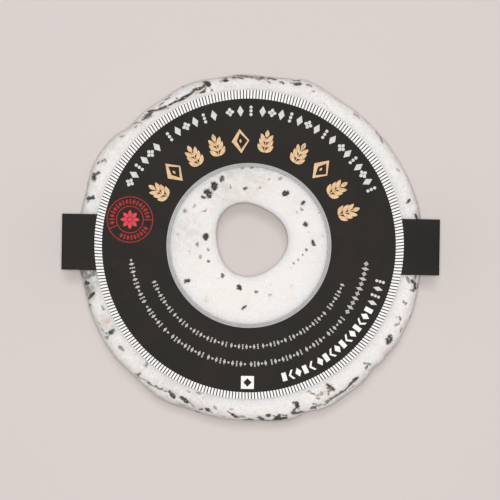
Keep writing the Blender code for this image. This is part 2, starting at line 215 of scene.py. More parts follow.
def section(turn):
    """A point of the wheel's cross-section: its share of the way from hole to edge, and its height."""
    across, up = math.cos(turn), math.sin(turn)
    width = RADIUS - HOLE_RADIUS
    half_width = 1 - CREST if across > 0 else CREST + CORE_CUT / width
    if up < 0:
        exponent, half_height = FOOT, WIDEST_HEIGHT + BASE_SINK
    else:
        exponent = OUTER_SHOULDER if across > 0 else INNER_SHOULDER
        half_height = HEIGHT - WIDEST_HEIGHT
    share = CREST + half_width * signed_power(across, 2 / exponent)
    height = WIDEST_HEIGHT + half_height * signed_power(up, 2 / exponent)
    wall = math.tan(math.radians(CORE_DRAFT)) * (HEIGHT - height) / width
    if across < 0:
        share = (share + wall + math.hypot(share - wall, LIP_ROUNDING / width)) / 2
    return share, height


def measure_section(steps=6000):
    """Turns round the cross-section and the length of the way there from its outermost point."""
    turns = np.linspace(0, math.tau, steps + 1)
    points = np.array([section(turn) for turn in turns]) * (RADIUS - HOLE_RADIUS, 1)
    lengths = np.concatenate(([0], np.cumsum(np.hypot(*np.diff(points, axis=0).T))))
    return turns, lengths


SECTION_TURNS, SECTION_LENGTHS = measure_section()


def turn_after(length):
    """The turn at a length round the cross-section, upwards from its outermost point."""
    return float(np.interp(length % SECTION_LENGTHS[-1], SECTION_LENGTHS, SECTION_TURNS))


def place(clock, share):
    """The point in plan at a share of the way from the hole's wall to the wheel's edge."""
    hole = HOLE_CENTRE + direction(clock) * hole_radius(clock)
    return hole.lerp(direction(clock) * edge_radius(clock), share)


def beyond_hole(spot, start, end):
    """Rises from 0 to 1 between two distances from the hole's round wall."""
    return smooth_step(HOLE_RADIUS + start, HOLE_RADIUS + end, (spot - HOLE_CENTRE).length)


def unevenness(spot, height):
    """How freely the rind's lumps show: little by the cored hole, not at all under label and base."""
    from_label = (spot - LABEL_CENTRE).length
    under_label = smooth_step(LABEL_INNER - SMOOTH_MARGIN, LABEL_INNER, from_label)
    beyond_label = smooth_step(LABEL_OUTER, LABEL_OUTER + SMOOTH_MARGIN, from_label)
    on_top = WINDOW_UNEVENNESS * (1 - under_label) + beyond_label
    freely = 1 + (on_top - 1) * smooth_step(TOP_FROM, TOP_TO, height)
    cored = 1 - beyond_hole(spot, CORED_FROM, CORED_TO)
    freely += (CORED_UNEVENNESS - freely) * cored
    return freely * smooth_step(0, SMOOTH_MARGIN, height)


def fold_drop(spot, height):
    """How far the long folds, and the lips outside them, lie below the round shoulder."""
    drop = 0.0
    for middle, half_width, end_radius, sag, depth, lip in FOLDS:
        gap = clock_gap(clock_of(spot), middle)
        to_end = math.radians(half_width - abs(gap)) * end_radius
        if to_end > 0:
            off = spot.length - end_radius + sag * (1 - (gap / half_width) ** 2)
            groove = depth * math.exp(-((off / FOLD_WIDTH) ** 2))
            beyond = lip * smooth_step(0, 2 * FOLD_WIDTH, off)
            drop += (groove + beyond) * smooth_step(0, FOLD_FADE, to_end)
    return drop * smooth_step(FOLD_FROM, FOLD_TO, height)


def rind_point(clock, turn, step=1e-3):
    """A point of the finished rind, and the direction that faces out of it."""
    share, height = section(turn)
    before, after = section(turn - step), section(turn + step)
    width = edge_radius(clock) - hole_radius(clock)
    slope = Vector(((after[0] - before[0]) * width, after[1] - before[1])).normalized()
    spot = place(clock, share)
    heading = direction(clock)
    outward = Vector((heading.x * slope.y, heading.y * slope.y, -slope.x))
    point = Vector((spot.x, spot.y, height))
    waves = ((LUMP_SIZE, LUMP_HEIGHT), (PIMPLE_SIZE, PIMPLE_HEIGHT), *GRAINS)
    lumps = sum(high * noise.noise(point / size) for size, high in waves) - GRAIN_SINKS
    point += outward * lumps * unevenness(spot, height)
    point.z = max(0.0, point.z - fold_drop(spot, height))
    return point, outward


def on_top(spot, rounds=8, close=1e-5):
    """The clock angle and turn that put a point of the top at a place in plan."""
    clock = clock_of(spot)
    for _ in range(rounds):
        low, high = 0.0, math.pi
        while high - low > close:
            middle = (low + high) / 2
            if place(clock, section(middle)[0]).length > spot.length:
                low = middle
            else:
                high = middle
        clock += clock_gap(clock_of(spot), clock_of(place(clock, section(low)[0])))
    return clock, low


def to_world(point):
    return (point + SHIFT.to_3d()) * MM


# Ash in the rind's creases

# Marks on the rim, placed on the photograph: where each starts and goes on to, in pixels from
# the top left corner, and after the first point the width in pixels and the tone of the stretch
READ_MARKS = (
    ((133, 123.5), (136, 122, 1.5, 0.5), (139.5, 122, 1.5, 0.45), (141.5, 123.8, 1.4, 0.4)),
    ((142.5, 119.5), (146, 116, 3, 0.7), (150.5, 113.3, 3, 0.8)), ((148, 118), (151, 116, 2, 0.5)),
    ((151.3, 112.2), (153.6, 110.4, 2, 0.6)), ((156, 109.6), (160.5, 108.3, 2.2, 0.8)),
    ((160.5, 108), (165, 106.2, 2, 0.85)), ((162.5, 108.8), (168, 107.8, 2.4, 0.5)),
    ((165, 106), (170, 104, 2, 0.9), (175, 101, 1.8, 0.9), (180, 99.5, 1.6, 0.85)),
    ((176, 97.5), (179.3, 99, 1.5, 0.6)),
    (
        (180, 99.5), (184, 97.5, 2.6, 0.95), (188, 94, 2.6, 0.95), (192.5, 91.3, 2.3, 0.85),
        (194.3, 90.2, 1.6, 0.7),
    ),
    ((194.3, 88.8), (201, 87.5, 2.6, 0.95)),
    ((200.5, 92.4), (204, 91.2, 2.2, 0.85), (205.3, 88.6, 1.7, 0.7)), ((196, 91), (199, 92.6, 1, 0.4)),
    ((195, 93.7), (198.3, 93.3, 1, 0.45)), ((205.3, 88.6), (205.2, 85.8, 1.4, 0.6)),
    ((203.3, 85.8), (205.8, 82.4, 2, 0.8), (208.6, 84.8, 2.6, 0.95)),
    ((208.5, 85.5), (212, 90.5, 1.5, 0.6)), ((221, 81), (224, 78, 2, 0.35)),
    ((224.5, 76), (226, 78.5, 1.6, 0.7)), ((229, 75.3), (234.5, 75, 1.6, 0.7)),
    ((234.5, 78), (236, 80, 1.5, 0.35)), ((250, 76), (254.5, 75.6, 1.4, 0.6)),
    ((256.5, 76), (258.8, 79.8, 2.4, 0.35)), ((262, 77.5), (263.6, 75.8, 2.3, 0.9)),
    ((266.5, 79.5), (270, 82.5, 1.8, 0.7)), ((271.2, 77.3), (274.6, 78.6, 2, 0.8)),
    ((280.4, 81.9), (283.6, 83.6, 2, 0.75)), ((291, 81.5), (293, 83, 1.4, 0.35)),
    ((294, 80.2), (299, 80.4, 2, 0.7)), ((296, 83), (299.3, 83, 2.2, 0.9)),
    ((308.3, 84.8), (311, 85.6, 1.6, 0.55)), ((313, 90.4), (314.6, 91, 1.8, 0.5)),
    ((325, 103.5), (327.5, 106, 1.6, 0.38)), ((355, 113.5), (359.8, 117.2, 2, 0.38)),
    ((381.5, 136), (382.8, 141, 2.2, 0.5)), ((396, 167), (397.5, 168.5, 1.8, 0.33)),
    ((398, 169.5), (400.5, 171.1, 1.5, 0.33)), ((407, 203.2), (410, 199.4, 2.1, 0.75)),
    ((415.6, 214), (417.6, 219.5, 2.6, 0.75)), ((407.6, 277), (409.2, 283, 1.9, 0.6)),
    ((412.6, 281.5), (415.4, 283.6, 2.8, 0.95), (416, 287, 2.6, 0.9), (413.8, 290.6, 2.2, 0.75)),
    ((411, 290), (413.6, 290.6, 2, 0.55)), ((403.4, 301.4), (405.6, 303.6, 2, 0.6)),
    ((396.5, 317.6), (399, 316.5, 1.5, 0.33)), ((399.4, 317), (401, 320, 1.9, 0.6), (400, 323, 1.7, 0.5)),
    ((396.5, 325), (399, 324.5, 2.2, 0.5)),
    ((389.9, 337.6), (389.4, 339.5, 3.4, 0.95), (387.8, 342.8, 2.5, 0.8)),
    ((364, 363.4), (368.5, 363.8, 1.7, 0.55), (371, 365.2, 1.7, 0.6)),
    ((368.7, 365), (366, 368.6, 2, 0.7)),
    ((356.8, 378.8), (353.5, 381.6, 2.6, 0.95), (350.6, 384.6, 1.6, 0.8)),
    (
        (351.2, 384.6), (349.6, 386.4, 2.2, 0.9), (345.2, 391, 1.8, 0.65), (340, 394.6, 2, 0.75),
        (335, 398, 1.7, 0.65), (331.5, 399.6, 2, 0.7),
    ),
    ((329.2, 401.4), (326.8, 402.7, 2.1, 0.65)), ((321, 405.5), (318, 406.6, 1.9, 0.5)),
    ((313, 404), (316, 404.6, 2, 0.6)), ((312.4, 408.6), (315.2, 408, 2.2, 0.8)),
    ((327, 384.5), (330, 387, 1.9, 0.65), (333.6, 389.6, 2.8, 0.65)),
    ((332, 390.4), (329.4, 391.4, 2, 0.5)), ((329.2, 391.6), (328.4, 394.6, 2, 0.55)),
    ((318, 395.6), (321.8, 394.5, 2.4, 0.52)), ((321, 392.3), (320.6, 394, 1.4, 0.35)),
    ((307.4, 392.1), (310, 391, 1.9, 0.45)), ((311, 393.4), (314.6, 394.6, 1.8, 0.52)),
    ((316.5, 398.4), (319, 399, 2, 0.52)),
    (
        (293, 402.5), (296.4, 403.4, 2, 0.75), (298, 407, 2.5, 0.95), (294.4, 410.2, 2.1, 0.85),
        (293.4, 413.6, 2.2, 0.9),
    ),
    ((298.4, 407.6), (299.2, 409.6, 1.4, 0.45)),
    ((293.6, 413.6), (297, 414.4, 2, 0.8), (301, 412.8, 1.8, 0.8), (305, 412.6, 1.6, 0.65)),
    ((279.6, 415.4), (278.4, 418, 2, 0.85), (275.4, 420, 2, 0.95)),
    ((258.8, 417.2), (261, 419, 1.8, 0.45)), ((248.4, 419.4), (251.6, 420.2, 1.7, 0.8)),
    ((231, 410), (233, 409.6, 1.9, 0.33)),
    ((227.4, 412), (230, 413.4, 1.4, 0.5), (232.6, 414.8, 1.9, 0.8), (236.6, 417.8, 2.4, 0.95)),
    ((237, 417.8), (239.6, 418, 1.5, 0.55)),
    ((206.4, 409.4), (208.6, 410.6, 2.2, 0.95), (212, 413.2, 1.7, 0.65)),
    ((214.4, 407), (215.6, 409.6, 1.8, 0.4)), ((223, 417), (225, 417, 1.5, 0.4)),
    ((190.5, 404.6), (193.2, 408, 2, 0.55)), ((178.4, 398), (180.8, 399.5, 1.2, 0.4)),
    (
        (181, 397.8), (184, 400, 2.3, 0.9), (186.6, 402.6, 2.5, 0.95), (189, 402.6, 1.9, 0.75),
        (190, 400.4, 1.3, 0.42),
    ),
    ((165, 391.4), (169, 391.8, 1.7, 0.62), (171.6, 394.2, 2, 0.75), (173.6, 397.2, 2.4, 0.95)),
    ((155.4, 386.4), (157, 389, 2, 0.65), (162, 389.6, 1.8, 0.65)),
    ((188, 391.5), (190, 392.5, 2.2, 0.33)), ((197, 392.9), (200, 393.5, 2.2, 0.42)),
    ((144.4, 381.4), (147.2, 382.6, 1.5, 0.5)), ((147.2, 382.8), (150.2, 385.2, 2.3, 0.7)),
    ((137.4, 378.4), (143.2, 380.2, 1.8, 0.33)), ((150.6, 386), (155, 388, 1.6, 0.4)),
    ((136, 375.6), (139.6, 374, 2, 0.6)),
    ((146.4, 362.3), (147, 365, 1.9, 0.5), (145.4, 367.2, 1.8, 0.5)),
    ((143.4, 365), (146, 366.2, 1.5, 0.45)), ((119, 347.4), (123.2, 350.4, 2.1, 0.55)),
    ((105.4, 333.8), (109, 333.6, 2.1, 0.48), (111.6, 331.4, 3.6, 0.8)),
    ((111.6, 331.6), (114.2, 329.4, 1.9, 0.6)), ((100.4, 329.4), (102.2, 331.2, 1.9, 0.42)),
    ((105.2, 338.4), (107, 337, 2, 0.5)), ((101.2, 306.2), (103.6, 309, 1.9, 0.42)),
    ((85.6, 283), (88.6, 283.5, 2.4, 0.9)),
    ((92.8, 293.4), (91.2, 295.2, 2.5, 0.95), (88.2, 298.4, 2, 0.8)),
    ((87.6, 198), (92.6, 197.6, 2.6, 0.85)), ((92.6, 196), (92.6, 198.4, 1.6, 0.7)),
    ((89, 199.5), (87.6, 201.6, 1.5, 0.5)),
    ((101.4, 160.6), (104, 159.5, 1.7, 0.5), (105.6, 161.2, 1.7, 0.5)),
    ((93, 175.4), (93.5, 178.6, 2.5, 0.95)), ((94.4, 174.5), (98.6, 172.8, 1.7, 0.8)),
)
RIM_PIXEL = 0.273  # what a pixel spans at the rim's height
STEEPEST = 0.9995  # the share of the way to the very edge up to which the height is worked out
MARK_MARGIN = 0.12  # the least distance of a mark from the very edge
# and marks placed by clock angle and distance from the middle, with their widths in millimetres
PLACED_MARKS = (
    ((349, 47.6), (350.6, 47.4, 0.5, 0.6)),
    ((355.3, 47.7), (358.4, 47.3, 0.71, 0.75), (0.6, 47.5, 0.5, 0.65)),
    ((354.2, 47), (357.2, 46.7, 0.6, 0.75)), ((357.3, 47.4), (358.8, 47.1, 0.6, 0.7)),
    ((0.6, 46.9), (3, 46.3, 0.6, 0.6)), ((1.6, 47.4), (2.5, 46.5, 0.5, 0.55)),
    ((3, 47.3), (4, 46.6, 0.45, 0.6)), ((4.4, 46.9), (5.2, 46.2, 0.4, 0.45)),
    ((168.8, 47.4), (171.4, 47.6, 0.75, 0.95), (174, 47.5, 0.5, 0.85)),
    ((176.9, 46.2), (175.8, 47.5, 0.66, 0.8)), ((175.4, 47.4), (177.6, 47.5, 0.7, 0.95)),
    ((179.7, 47.1), (181.8, 47, 0.55, 0.8)),
)
# Clock angle, distance from the middle, length, width, turn from the direction round the wheel,
# bend, and tone
WINDOW_STROKES = (
    (337.6, 20.4, 1.3, 0.9, 40, 0, 0.85), (329.8, 19.5, 1.5, 1.1, 60, 40, 1.0),
    (322.6, 18.9, 1.6, 1.2, 80, 0, 1.0), (317.3, 18.9, 1.5, 0.45, -60, 0, 0.85),
    (32.6, 17.8, 1.4, 0.9, 70, 0, 1.0), (49, 18.8, 1.3, 0.6, 85, 30, 0.85),
    (66.4, 16.3, 1.0, 0.8, 10, 0, 0.85), (84.7, 17.0, 1.4, 0.6, 5, 0, 0.95),
    (91.6, 15.1, 0.6, 0.5, 0, 0, 0.7), (97, 14.2, 0.5, 0.4, 0, 0, 0.5), (103, 13.2, 0.6, 0.4, 30, 0, 0.6),
    (109, 12.3, 1.1, 0.4, 60, 0, 0.6), (284.9, 12.5, 1.1, 1.0, 0, 0, 0.95),
    (274.2, 14.6, 0.9, 0.7, 0, 0, 0.6), (268.5, 11.6, 0.9, 0.5, 40, 0, 0.55),
    (260.4, 13.9, 0.9, 0.7, 0, 0, 0.4), (253.5, 12.0, 0.8, 0.5, 50, 0, 0.7),
    (243.1, 19.3, 1.5, 0.7, 70, 0, 0.9), (227.7, 12.2, 0.9, 0.4, 20, 0, 0.4),
    (226.3, 10.6, 0.9, 0.7, -40, 0, 0.75), (196.7, 11.0, 1.2, 0.8, -30, 0, 0.95),
    (186.1, 16.0, 1.5, 0.4, 42, 0, 0.85), (188.6, 16.8, 0.9, 0.3, 42, 0, 0.5),
    (172.7, 11.9, 0.7, 0.6, 0, 0, 0.7), (157.1, 13.6, 0.9, 0.6, 0, 0, 0.45),
    (151, 11.2, 0.8, 0.4, 30, 0, 0.3), (133, 15.0, 0.7, 0.6, 0, 0, 0.25),
    (342.1, 17.7, 1.0, 0.4, 80, 0, 0.5), (354.6, 16.4, 1.0, 0.6, 10, 0, 0.75),
    (8.1, 16.6, 0.9, 0.5, 30, 0, 0.45), (14.8, 19.2, 1.0, 0.5, 70, 0, 0.45),
    (0.8, 22.0, 0.9, 0.5, 20, 0, 0.6), (310, 16.1, 1.7, 0.4, -10, 100, 0.5),
    (307, 19.3, 0.9, 0.7, 0, 0, 0.35), (299.6, 20.6, 1.0, 0.7, 0, 0, 0.5),
    (52.3, 17.4, 1.1, 0.6, 20, 60, 0.4), (52.2, 15.9, 0.7, 0.5, 0, 0, 0.25),
    (80.5, 19.8, 0.9, 0.6, 0, 0, 0.25), (62.4, 21.0, 0.7, 0.4, 60, 0, 0.3),
    (73.9, 16.5, 0.8, 0.5, 30, 0, 0.25), (281, 20.1, 0.9, 0.6, 0, 0, 0.25),
    (266.5, 16.6, 0.7, 0.6, 0, 0, 0.25), (354, 21.9, 0.8, 0.4, 0, 0, 0.5),
    (23, 20.6, 1.0, 0.7, 50, 0, 0.4),
)
STROKE_WIDENING, MARK_WIDENING = 1.2, 1.5
MARK_STEP, MARK_SWELL, SWELL_LEVEL = 0.3, 0.5, 3.0
EDGE_WIDENING, EDGE_FROM, EDGE_TO = 0.5, 45.8, 47.0  # marks at the very edge are seen aslant
STROKE_POINTS = 7
STROKE_TAPER = 0.45  # width of a stroke's ends, as a share of its middle's
BARBED_FROM = 1.2  # a stroke that long and dark has a side branch
BARB_REACH, BARB_ROOT, BARB_TURN, BARB_POINTS = 0.45, 0.7, (50, 110), 3

# Strokes on the side are drawn at random: a band round the cross-section, upwards from its
# outermost point, and the least and most of what they measure
SIDE_STROKES, SIDE_SEED = 260, 11
STROKE_BAND = (-8.5, 11.0)
STROKE_LENGTHS, STROKE_WIDTHS, STROKE_TONES = (0.7, 2.4), (0.4, 1.0), (0.4, 1.0)
STROKE_TURNS, STROKE_BENDS = (-50, 50), (-90, 90)  # degrees
ASH_REACH, ASH_SEARCH = 2.2, 1.3  # how many half-widths the ash reaches, and how far it's looked for
CREASED_FROM, CREASED_TO = 0.1, 0.8  # of the ash's strength

# Greyer places, partly grey mould and partly painted shade: the strongest, near clock 260 by the left
# strap, are its painted shadow, and others are painted shade at the rim's outermost edge and along
# the label's inner edge. Then browner ones. Each: clock angle, distance from the middle, size, and
# strength
GREY_AND_SHADE_PATCHES = (
    (263, 43.6, 3.0, 1.9), (262, 45.5, 2.8, 2.0), (259, 43.8, 3.2, 1.0), (256, 46.0, 3.0, 1.5),
    (260, 47.4, 1.8, 1.2), (240, 43.3, 2.5, 0.4), (281, 44.5, 2.0, 0.3), (243, 44.0, 3.5, 0.3),
    (341, 44.0, 2.5, 0.25), (318, 43.6, 3.0, 0.25), (292, 47.4, 2.2, 0.25), (301, 48.2, 3.2, 0.4),
    (308, 47.8, 3.2, 0.4), (316, 47.0, 2.4, 0.35), (334, 46.8, 1.8, 0.35), (339, 47.2, 2.2, 0.45),
    (344, 47.6, 2.2, 0.4), (357, 47.6, 2.0, 0.3), (17, 46.8, 1.4, 0.25), (352, 44.5, 3.5, 0.3),
    (5, 44.5, 3.5, 0.35), (18, 44.5, 3.5, 0.2), (123, 47.0, 2.0, 0.3), (128, 47.0, 2.2, 0.35),
    (137, 46.8, 2.0, 0.35), (150, 47.5, 2.5, 0.3), (165, 47.3, 2.5, 0.3), (190, 47.0, 2.6, 0.3),
    (197, 47.0, 2.6, 0.35), (204, 47.2, 2.6, 0.45), (210, 47.2, 2.4, 0.45), (216, 47.2, 2.4, 0.4),
    (222, 47.2, 2.0, 0.35), (210, 44.5, 5.0, 0.38), (198, 44.0, 4.5, 0.34), (223, 43.8, 4.0, 0.28),
    (232, 44.5, 4.0, 0.2), (335, 17.5, 6.5, 0.38), (0, 19.0, 6.0, 0.38), (285, 18.0, 6.0, 0.36),
    (90, 18.5, 5.5, 0.14), (45, 18.5, 5.0, 0.14), (350, 21.0, 4.0, 0.3), (330, 21.2, 3.0, 0.3),
    (10, 21.5, 3.0, 0.25),
)
STAINS = (
    (345, 18.5, 6.0, 0.13), (5, 19.0, 5.0, 0.13), (243, 44.2, 1.8, 0.6), (299.6, 20.6, 0.7, 0.7),
    (345, 20.8, 1.5, 0.35), (221, 18.4, 0.9, 0.4), (152.5, 44.1, 1.5, 0.4), (322, 19.8, 2.0, 0.3),
)


def bent_stroke(length, width, heading, bend):
    """Points along a stroke, from its middle, and half its width there; angles in degrees."""
    for step in range(STROKE_POINTS):
        along = step / (STROKE_POINTS - 1) - 0.5
        taper = 1 - (1 - STROKE_TAPER) * (2 * along) ** 2
        yield unit(heading + bend * along / 2) * length * along, width / 2 * taper


def stroke_path(stroke):
    """Points along a stroke seen from above, each with its half-width and tone."""
    clock, radius, length, width, turned, bend, tone = stroke
    middle = direction(clock) * radius
    heading = turned - clock
    width *= STROKE_WIDENING
    for off, half_width in bent_stroke(length, width, heading, bend):
        yield middle + off, half_width, tone
    if length * tone > BARBED_FROM:
        draw = random.Random(round(clock * 10))
        end = draw.choice((-0.5, 0.5))
        root = middle + unit(heading) * length * end * BARB_ROOT
        branch = unit(heading + draw.choice((-1, 1)) * draw.uniform(*BARB_TURN))
        for step in range(1, BARB_POINTS + 1):
            spot = root + branch * length * BARB_REACH * step / BARB_POINTS
            yield spot, width / 2 * (1 - 0.2 * step), tone


def placed(clock, radius):
    return direction(clock) * radius


def level(clock, radius):
    """The height of the even rind, without its dents."""
    edge = edge_radius(clock)
    crest = HOLE_RADIUS + CREST * (edge - HOLE_RADIUS)
    share = min(max(radius - crest, 0.0) / (edge - crest), STEEPEST)
    drop = (1 - share**OUTER_SHOULDER) ** (1 / OUTER_SHOULDER)
    return WIDEST_HEIGHT + (HEIGHT - WIDEST_HEIGHT) * drop


def read(x, y, rounds=30):
    """The place in plan of a point of the rind that the photograph shows at a pixel, to the nearest
    tenth of a degree and of a millimetre."""
    height = HEIGHT
    for _ in range(rounds):  # half steps, since the rind is steep by its edge
        scale = PIXEL * (CAMERA_DISTANCE + CARD_TOP - height) / CAMERA_DISTANCE
        spot = FRAME_MIDDLE + Vector((x - PICTURE / 2, PICTURE / 2 - y)) * scale
        clock = clock_of(spot)
        height = (height + level(clock, spot.length)) / 2
    radius = min(spot.length, edge_radius(clock) - MARK_MARGIN)
    return placed(round(clock, 1), round(radius, 1))


def mark_stretches():
    """The straight stretches of the rim's marks: start and end in plan, width and tone."""
    for marks, find, scale in ((READ_MARKS, read, RIM_PIXEL), (PLACED_MARKS, placed, 1.0)):
        for first, *others in marks:
            start = find(*first)
            for a, b, width, tone in others:
                end = find(a, b)
                yield start, end, round(width * scale, 2), tone
                start = end


def stretch_path(start, end, width, tone):
    """Points along a stretch of a mark, each with its half-width and tone."""
    steps = max(4, int((end - start).length / MARK_STEP))
    for step in range(steps + 1):
        spot = start.lerp(end, step / steps)
        swell = 0.75 + MARK_SWELL * noise.noise(Vector((spot.x, spot.y, SWELL_LEVEL)))
        swell += EDGE_WIDENING * smooth_step(EDGE_FROM, EDGE_TO, spot.length)
        yield spot, width / 2 * MARK_WIDENING * swell, tone


def side_path(draw):
    """A stroke at a place drawn at random on the wheel's side."""
    clock, length_up = draw.uniform(0, 360), draw.uniform(*STROKE_BAND)
    length, width = draw.uniform(*STROKE_LENGTHS), draw.uniform(*STROKE_WIDTHS)
    heading, bend = draw.uniform(*STROKE_TURNS), draw.uniform(*STROKE_BENDS)
    tone = draw.uniform(*STROKE_TONES)
    for off, half_width in bent_stroke(length, width, heading, bend):
        there = clock + math.degrees(off.x / RADIUS)
        yield rind_point(there, turn_after(length_up + off.y))[0], half_width, tone


def ash_points():
    """All points of ash on the rind: place in space, half-width and tone."""
    seen = [point for stretch in mark_stretches() for point in stretch_path(*stretch)]
    seen += [point for stroke in WINDOW_STROKES for point in stroke_path(stroke)]
    found = [(rind_point(*on_top(spot))[0], half_width, tone) for spot, half_width, tone in seen]
    draw = random.Random(SIDE_SEED)
    for _ in range(SIDE_STROKES):
        found.extend(side_path(draw))
    return found


def ash_at(point, tree, points):
    """How strongly the nearest ash reaches a point of the rind, from 0 to 1, and its tone."""
    strength, tone = 0.0, 0.0
    for _, number, distance in tree.find_range(point, ASH_SEARCH):
        _, half_width, its_tone = points[number]
        near = 1 - distance / (ASH_REACH * half_width)
        if near > strength:
            strength, tone = near, its_tone
    return strength, tone


def patch_strength(patches, spot):
    return max(
        strength * math.exp(-(((spot - direction(clock) * radius).length / size) ** 2))
        for clock, radius, size, strength in patches
    )


# The fine mesh of the rind

SECTION_ROWS = (  # length of a stretch of the cross-section, upwards from its outermost point, and rows
    (7.5, 15),
    (9.0, 34),
    (16.5, 4),
    (14.355, 29),
    (0.5, 4),
    (4.145, 11),
    (19.5, 5),
    (35.0, 4),
)
ROWS_LEFT = 4  # for the rest of it
LIP_ROW = sum(rows for _, rows in SECTION_ROWS[:5])  # at the corner where the cored wall starts
RIND_FIELDS = ("ash", "tone", "grey_and_shade", "stain", "side")  # what the rind's material reads
STEEP_FROM, STEEP_TO = -0.2, 0.6  # of how far up the rind faces
SIDE_FROM, SIDE_TO = 2, 5  # from the hole, whose wall isn't counted as a side


def section_row_turns():
    """Turns of the mesh's rows, close together where the rind is seen."""
    left = SECTION_LENGTHS[-1] - sum(stretch for stretch, _ in SECTION_ROWS)
    lengths, start = [], 0.0
    for stretch, rows in (*SECTION_ROWS, (left, ROWS_LEFT)):
        lengths.extend(start + stretch * row / rows for row in range(rows))
        start += stretch
    return [turn_after(length) for length in lengths]


def rind_faces(rows):
    """Faces between rows round the cross-section, both ways round closed."""
    for step in range(ROUND_STEPS):
        here, there = step * rows, (step + 1) % ROUND_STEPS * rows
        for row in range(rows):
            above = (row + 1) % rows
            yield here + row, here + above, there + above, there + row


def make_rind():
    turns = section_row_turns()
    rows = len(turns)
    points = ash_points()
    tree = kdtree.KDTree(len(points))
    for number, (point, _, _) in enumerate(points):
        tree.insert(point, number)
    tree.balance()
    places, values = [], []
    for step in range(ROUND_STEPS):
        for turn in turns:
            point, outward = rind_point(360 * step / ROUND_STEPS, turn)
            strength, tone = ash_at(point, tree, points)
            creased = smooth_step(CREASED_FROM, CREASED_TO, strength)
            point -= outward * CREASE_DEPTH * creased * unevenness(point.to_2d(), point.z)
            point.z = max(0.0, point.z)
            places.append(to_world(point))
            spot, seen = point.to_2d(), point.z > WIDEST_HEIGHT
            # greyer patches, partly grey mould and partly painted shade
            grey_and_shade = patch_strength(GREY_AND_SHADE_PATCHES, spot) if seen else 0.0
            stain = patch_strength(STAINS, spot) if seen else 0.0
            # steep faces away from the hole are greyed in the material, as dust and painted shade
            steep = 1 - smooth_step(STEEP_FROM, STEEP_TO, outward.z)
            side = steep * beyond_hole(spot, SIDE_FROM, SIDE_TO)
            values.append((strength, tone, grey_and_shade, stain, side))
    mesh = bpy.data.meshes.new("rind")
    mesh.from_pydata(places, [], list(rind_faces(rows)))
    for name, field in zip(RIND_FIELDS, zip(*values)):
        mesh.attributes.new(name, "FLOAT", "POINT").data.foreach_set("value", field)
    mesh.shade_smooth()
    at_lip = [all(end % rows == LIP_ROW for end in edge.vertices) for edge in mesh.edges]
    mesh.attributes.new("sharp_edge", "BOOLEAN", "EDGE").data.foreach_set("value", at_lip)
    return new_object("rind", mesh)


# The flakes themselves: ragged chips of charcoal half sunk in the rind


def side_flakes():
    """Clock angle, turn, length, width and twist of the flakes on the sides, as in the CAD."""
    draw = random.Random(FLAKE_SEED)
    lengths = sorted((draw.uniform(*SIDE_LENGTHS) for _ in range(SIDE_FLAKES)), reverse=True)
    chosen, taken = [], []
    while len(chosen) < SIDE_FLAKES:
        clock, length_up = draw.uniform(0, 360), draw.uniform(*SIDE_BAND)
        length = lengths[len(chosen)]
        width, turned = length * draw.uniform(*FLAKE_SLIMNESS), draw.uniform(0, 180)
        spot = Vector((math.radians(clock) * RADIUS, length_up))
        strap = min(abs(clock_gap(clock, 90)), abs(clock_gap(clock, 270)))
        if strap > STRAP_SHADOW and all((spot - other).length > FLAKE_SPACING for other in taken):
            taken.append(spot)
            chosen.append((clock, turn_after(length_up), length, width, turned))
    return chosen


def add_chip(shape, chip):
    clock, turn, length, width, turned = chip
    spot, up = rind_point(clock, turn)
    made = bmesh.ops.create_icosphere(shape, subdivisions=4, radius=0.5)["verts"]
    seed = Vector((clock, turn, 0))
    bend = CHIP_BEND * noise.noise(seed * 7)
    for vertex in made:
        ragged = [reach * noise.noise_vector(vertex.co * waves + seed) for waves, reach in CHIP_ROUGHNESS]
        vertex.co += sum(ragged, Vector())
        off = vertex.co.x**2
        vertex.co.y = vertex.co.y * (1 - CHIP_WAIST * off) + bend * (off - 0.1)
    round_wheel = direction(clock + 90).to_3d()
    long_way = (round_wheel - up * round_wheel.dot(up)).normalized()
    long_way = Matrix.Rotation(math.radians(turned), 3, up) @ long_way
    axes = Matrix((long_way, up.cross(long_way), up)).transposed().to_4x4()
    thickness = FLAKE_STANDS + FLAKE_SINKS
    size = Matrix.Diagonal((length, width * CHIP_SLIMMING, thickness, 1))
    middle = spot + up * (FLAKE_STANDS - thickness / 2)
    moved = Matrix.Scale(MM, 4) @ Matrix.Translation(middle + SHIFT.to_3d()) @ axes @ size
    bmesh.ops.transform(shape, matrix=moved, verts=made)


def make_chips():
    noise.seed_set(FLAKE_SEED)
    shape = bmesh.new()
    for clock, radius, length, width, turned in TOP_FLAKES:
        add_chip(shape, (*on_top(direction(clock) * radius), length, width, turned))
    for chip in side_flakes():
        add_chip(shape, chip)
    chips = object_of("ash_flakes", shape)
    chips.data.shade_smooth()
    return chips


# The card


def card_warp(x, y):
    """How far the card, which is a little bent, stands off the rind."""
    high_sides = (1 + math.cos(2 * (math.atan2(y, x) + math.radians(CARD_WARP_TURN)))) / 2
    return CARD_WARP * high_sides * (math.hypot(x, y) / LABEL_OUTER) ** 2


LABEL_PLACE = Matrix.Translation(to_world(LABEL_CENTRE.to_3d())) @ Matrix.Rotation(
    math.radians(LABEL_TURN), 4, "Z"
)


def on_card(spot, lift=0.0):
    """The place, in metres, of a point of the label's top, with the label's middle at 0, 0."""
    top = CARD_TOP + card_warp(spot.x, spot.y) + lift
    return LABEL_PLACE @ (Vector((spot.x, spot.y, top)) * MM)


def apply_modifiers(obj):
    graph = bpy.context.evaluated_depsgraph_get()
    applied = bpy.data.meshes.new_from_object(obj.evaluated_get(graph))
    old = obj.data
    obj.modifiers.clear()
    obj.data = applied
    bpy.data.meshes.remove(old)


def profile(name, points, closed=False):
    """A line of edges in the XZ plane, in metres, to be turned or drawn out by a Screw modifier."""
    edges = [(n, n + 1) for n in range(len(points) - 1)]
    if closed:
        edges.append((len(points) - 1, 0))
    mesh = bpy.data.meshes.new(name)
    mesh.from_pydata([(x * MM, 0, z * MM) for x, z in points], edges, [])
    return new_object(name, mesh)


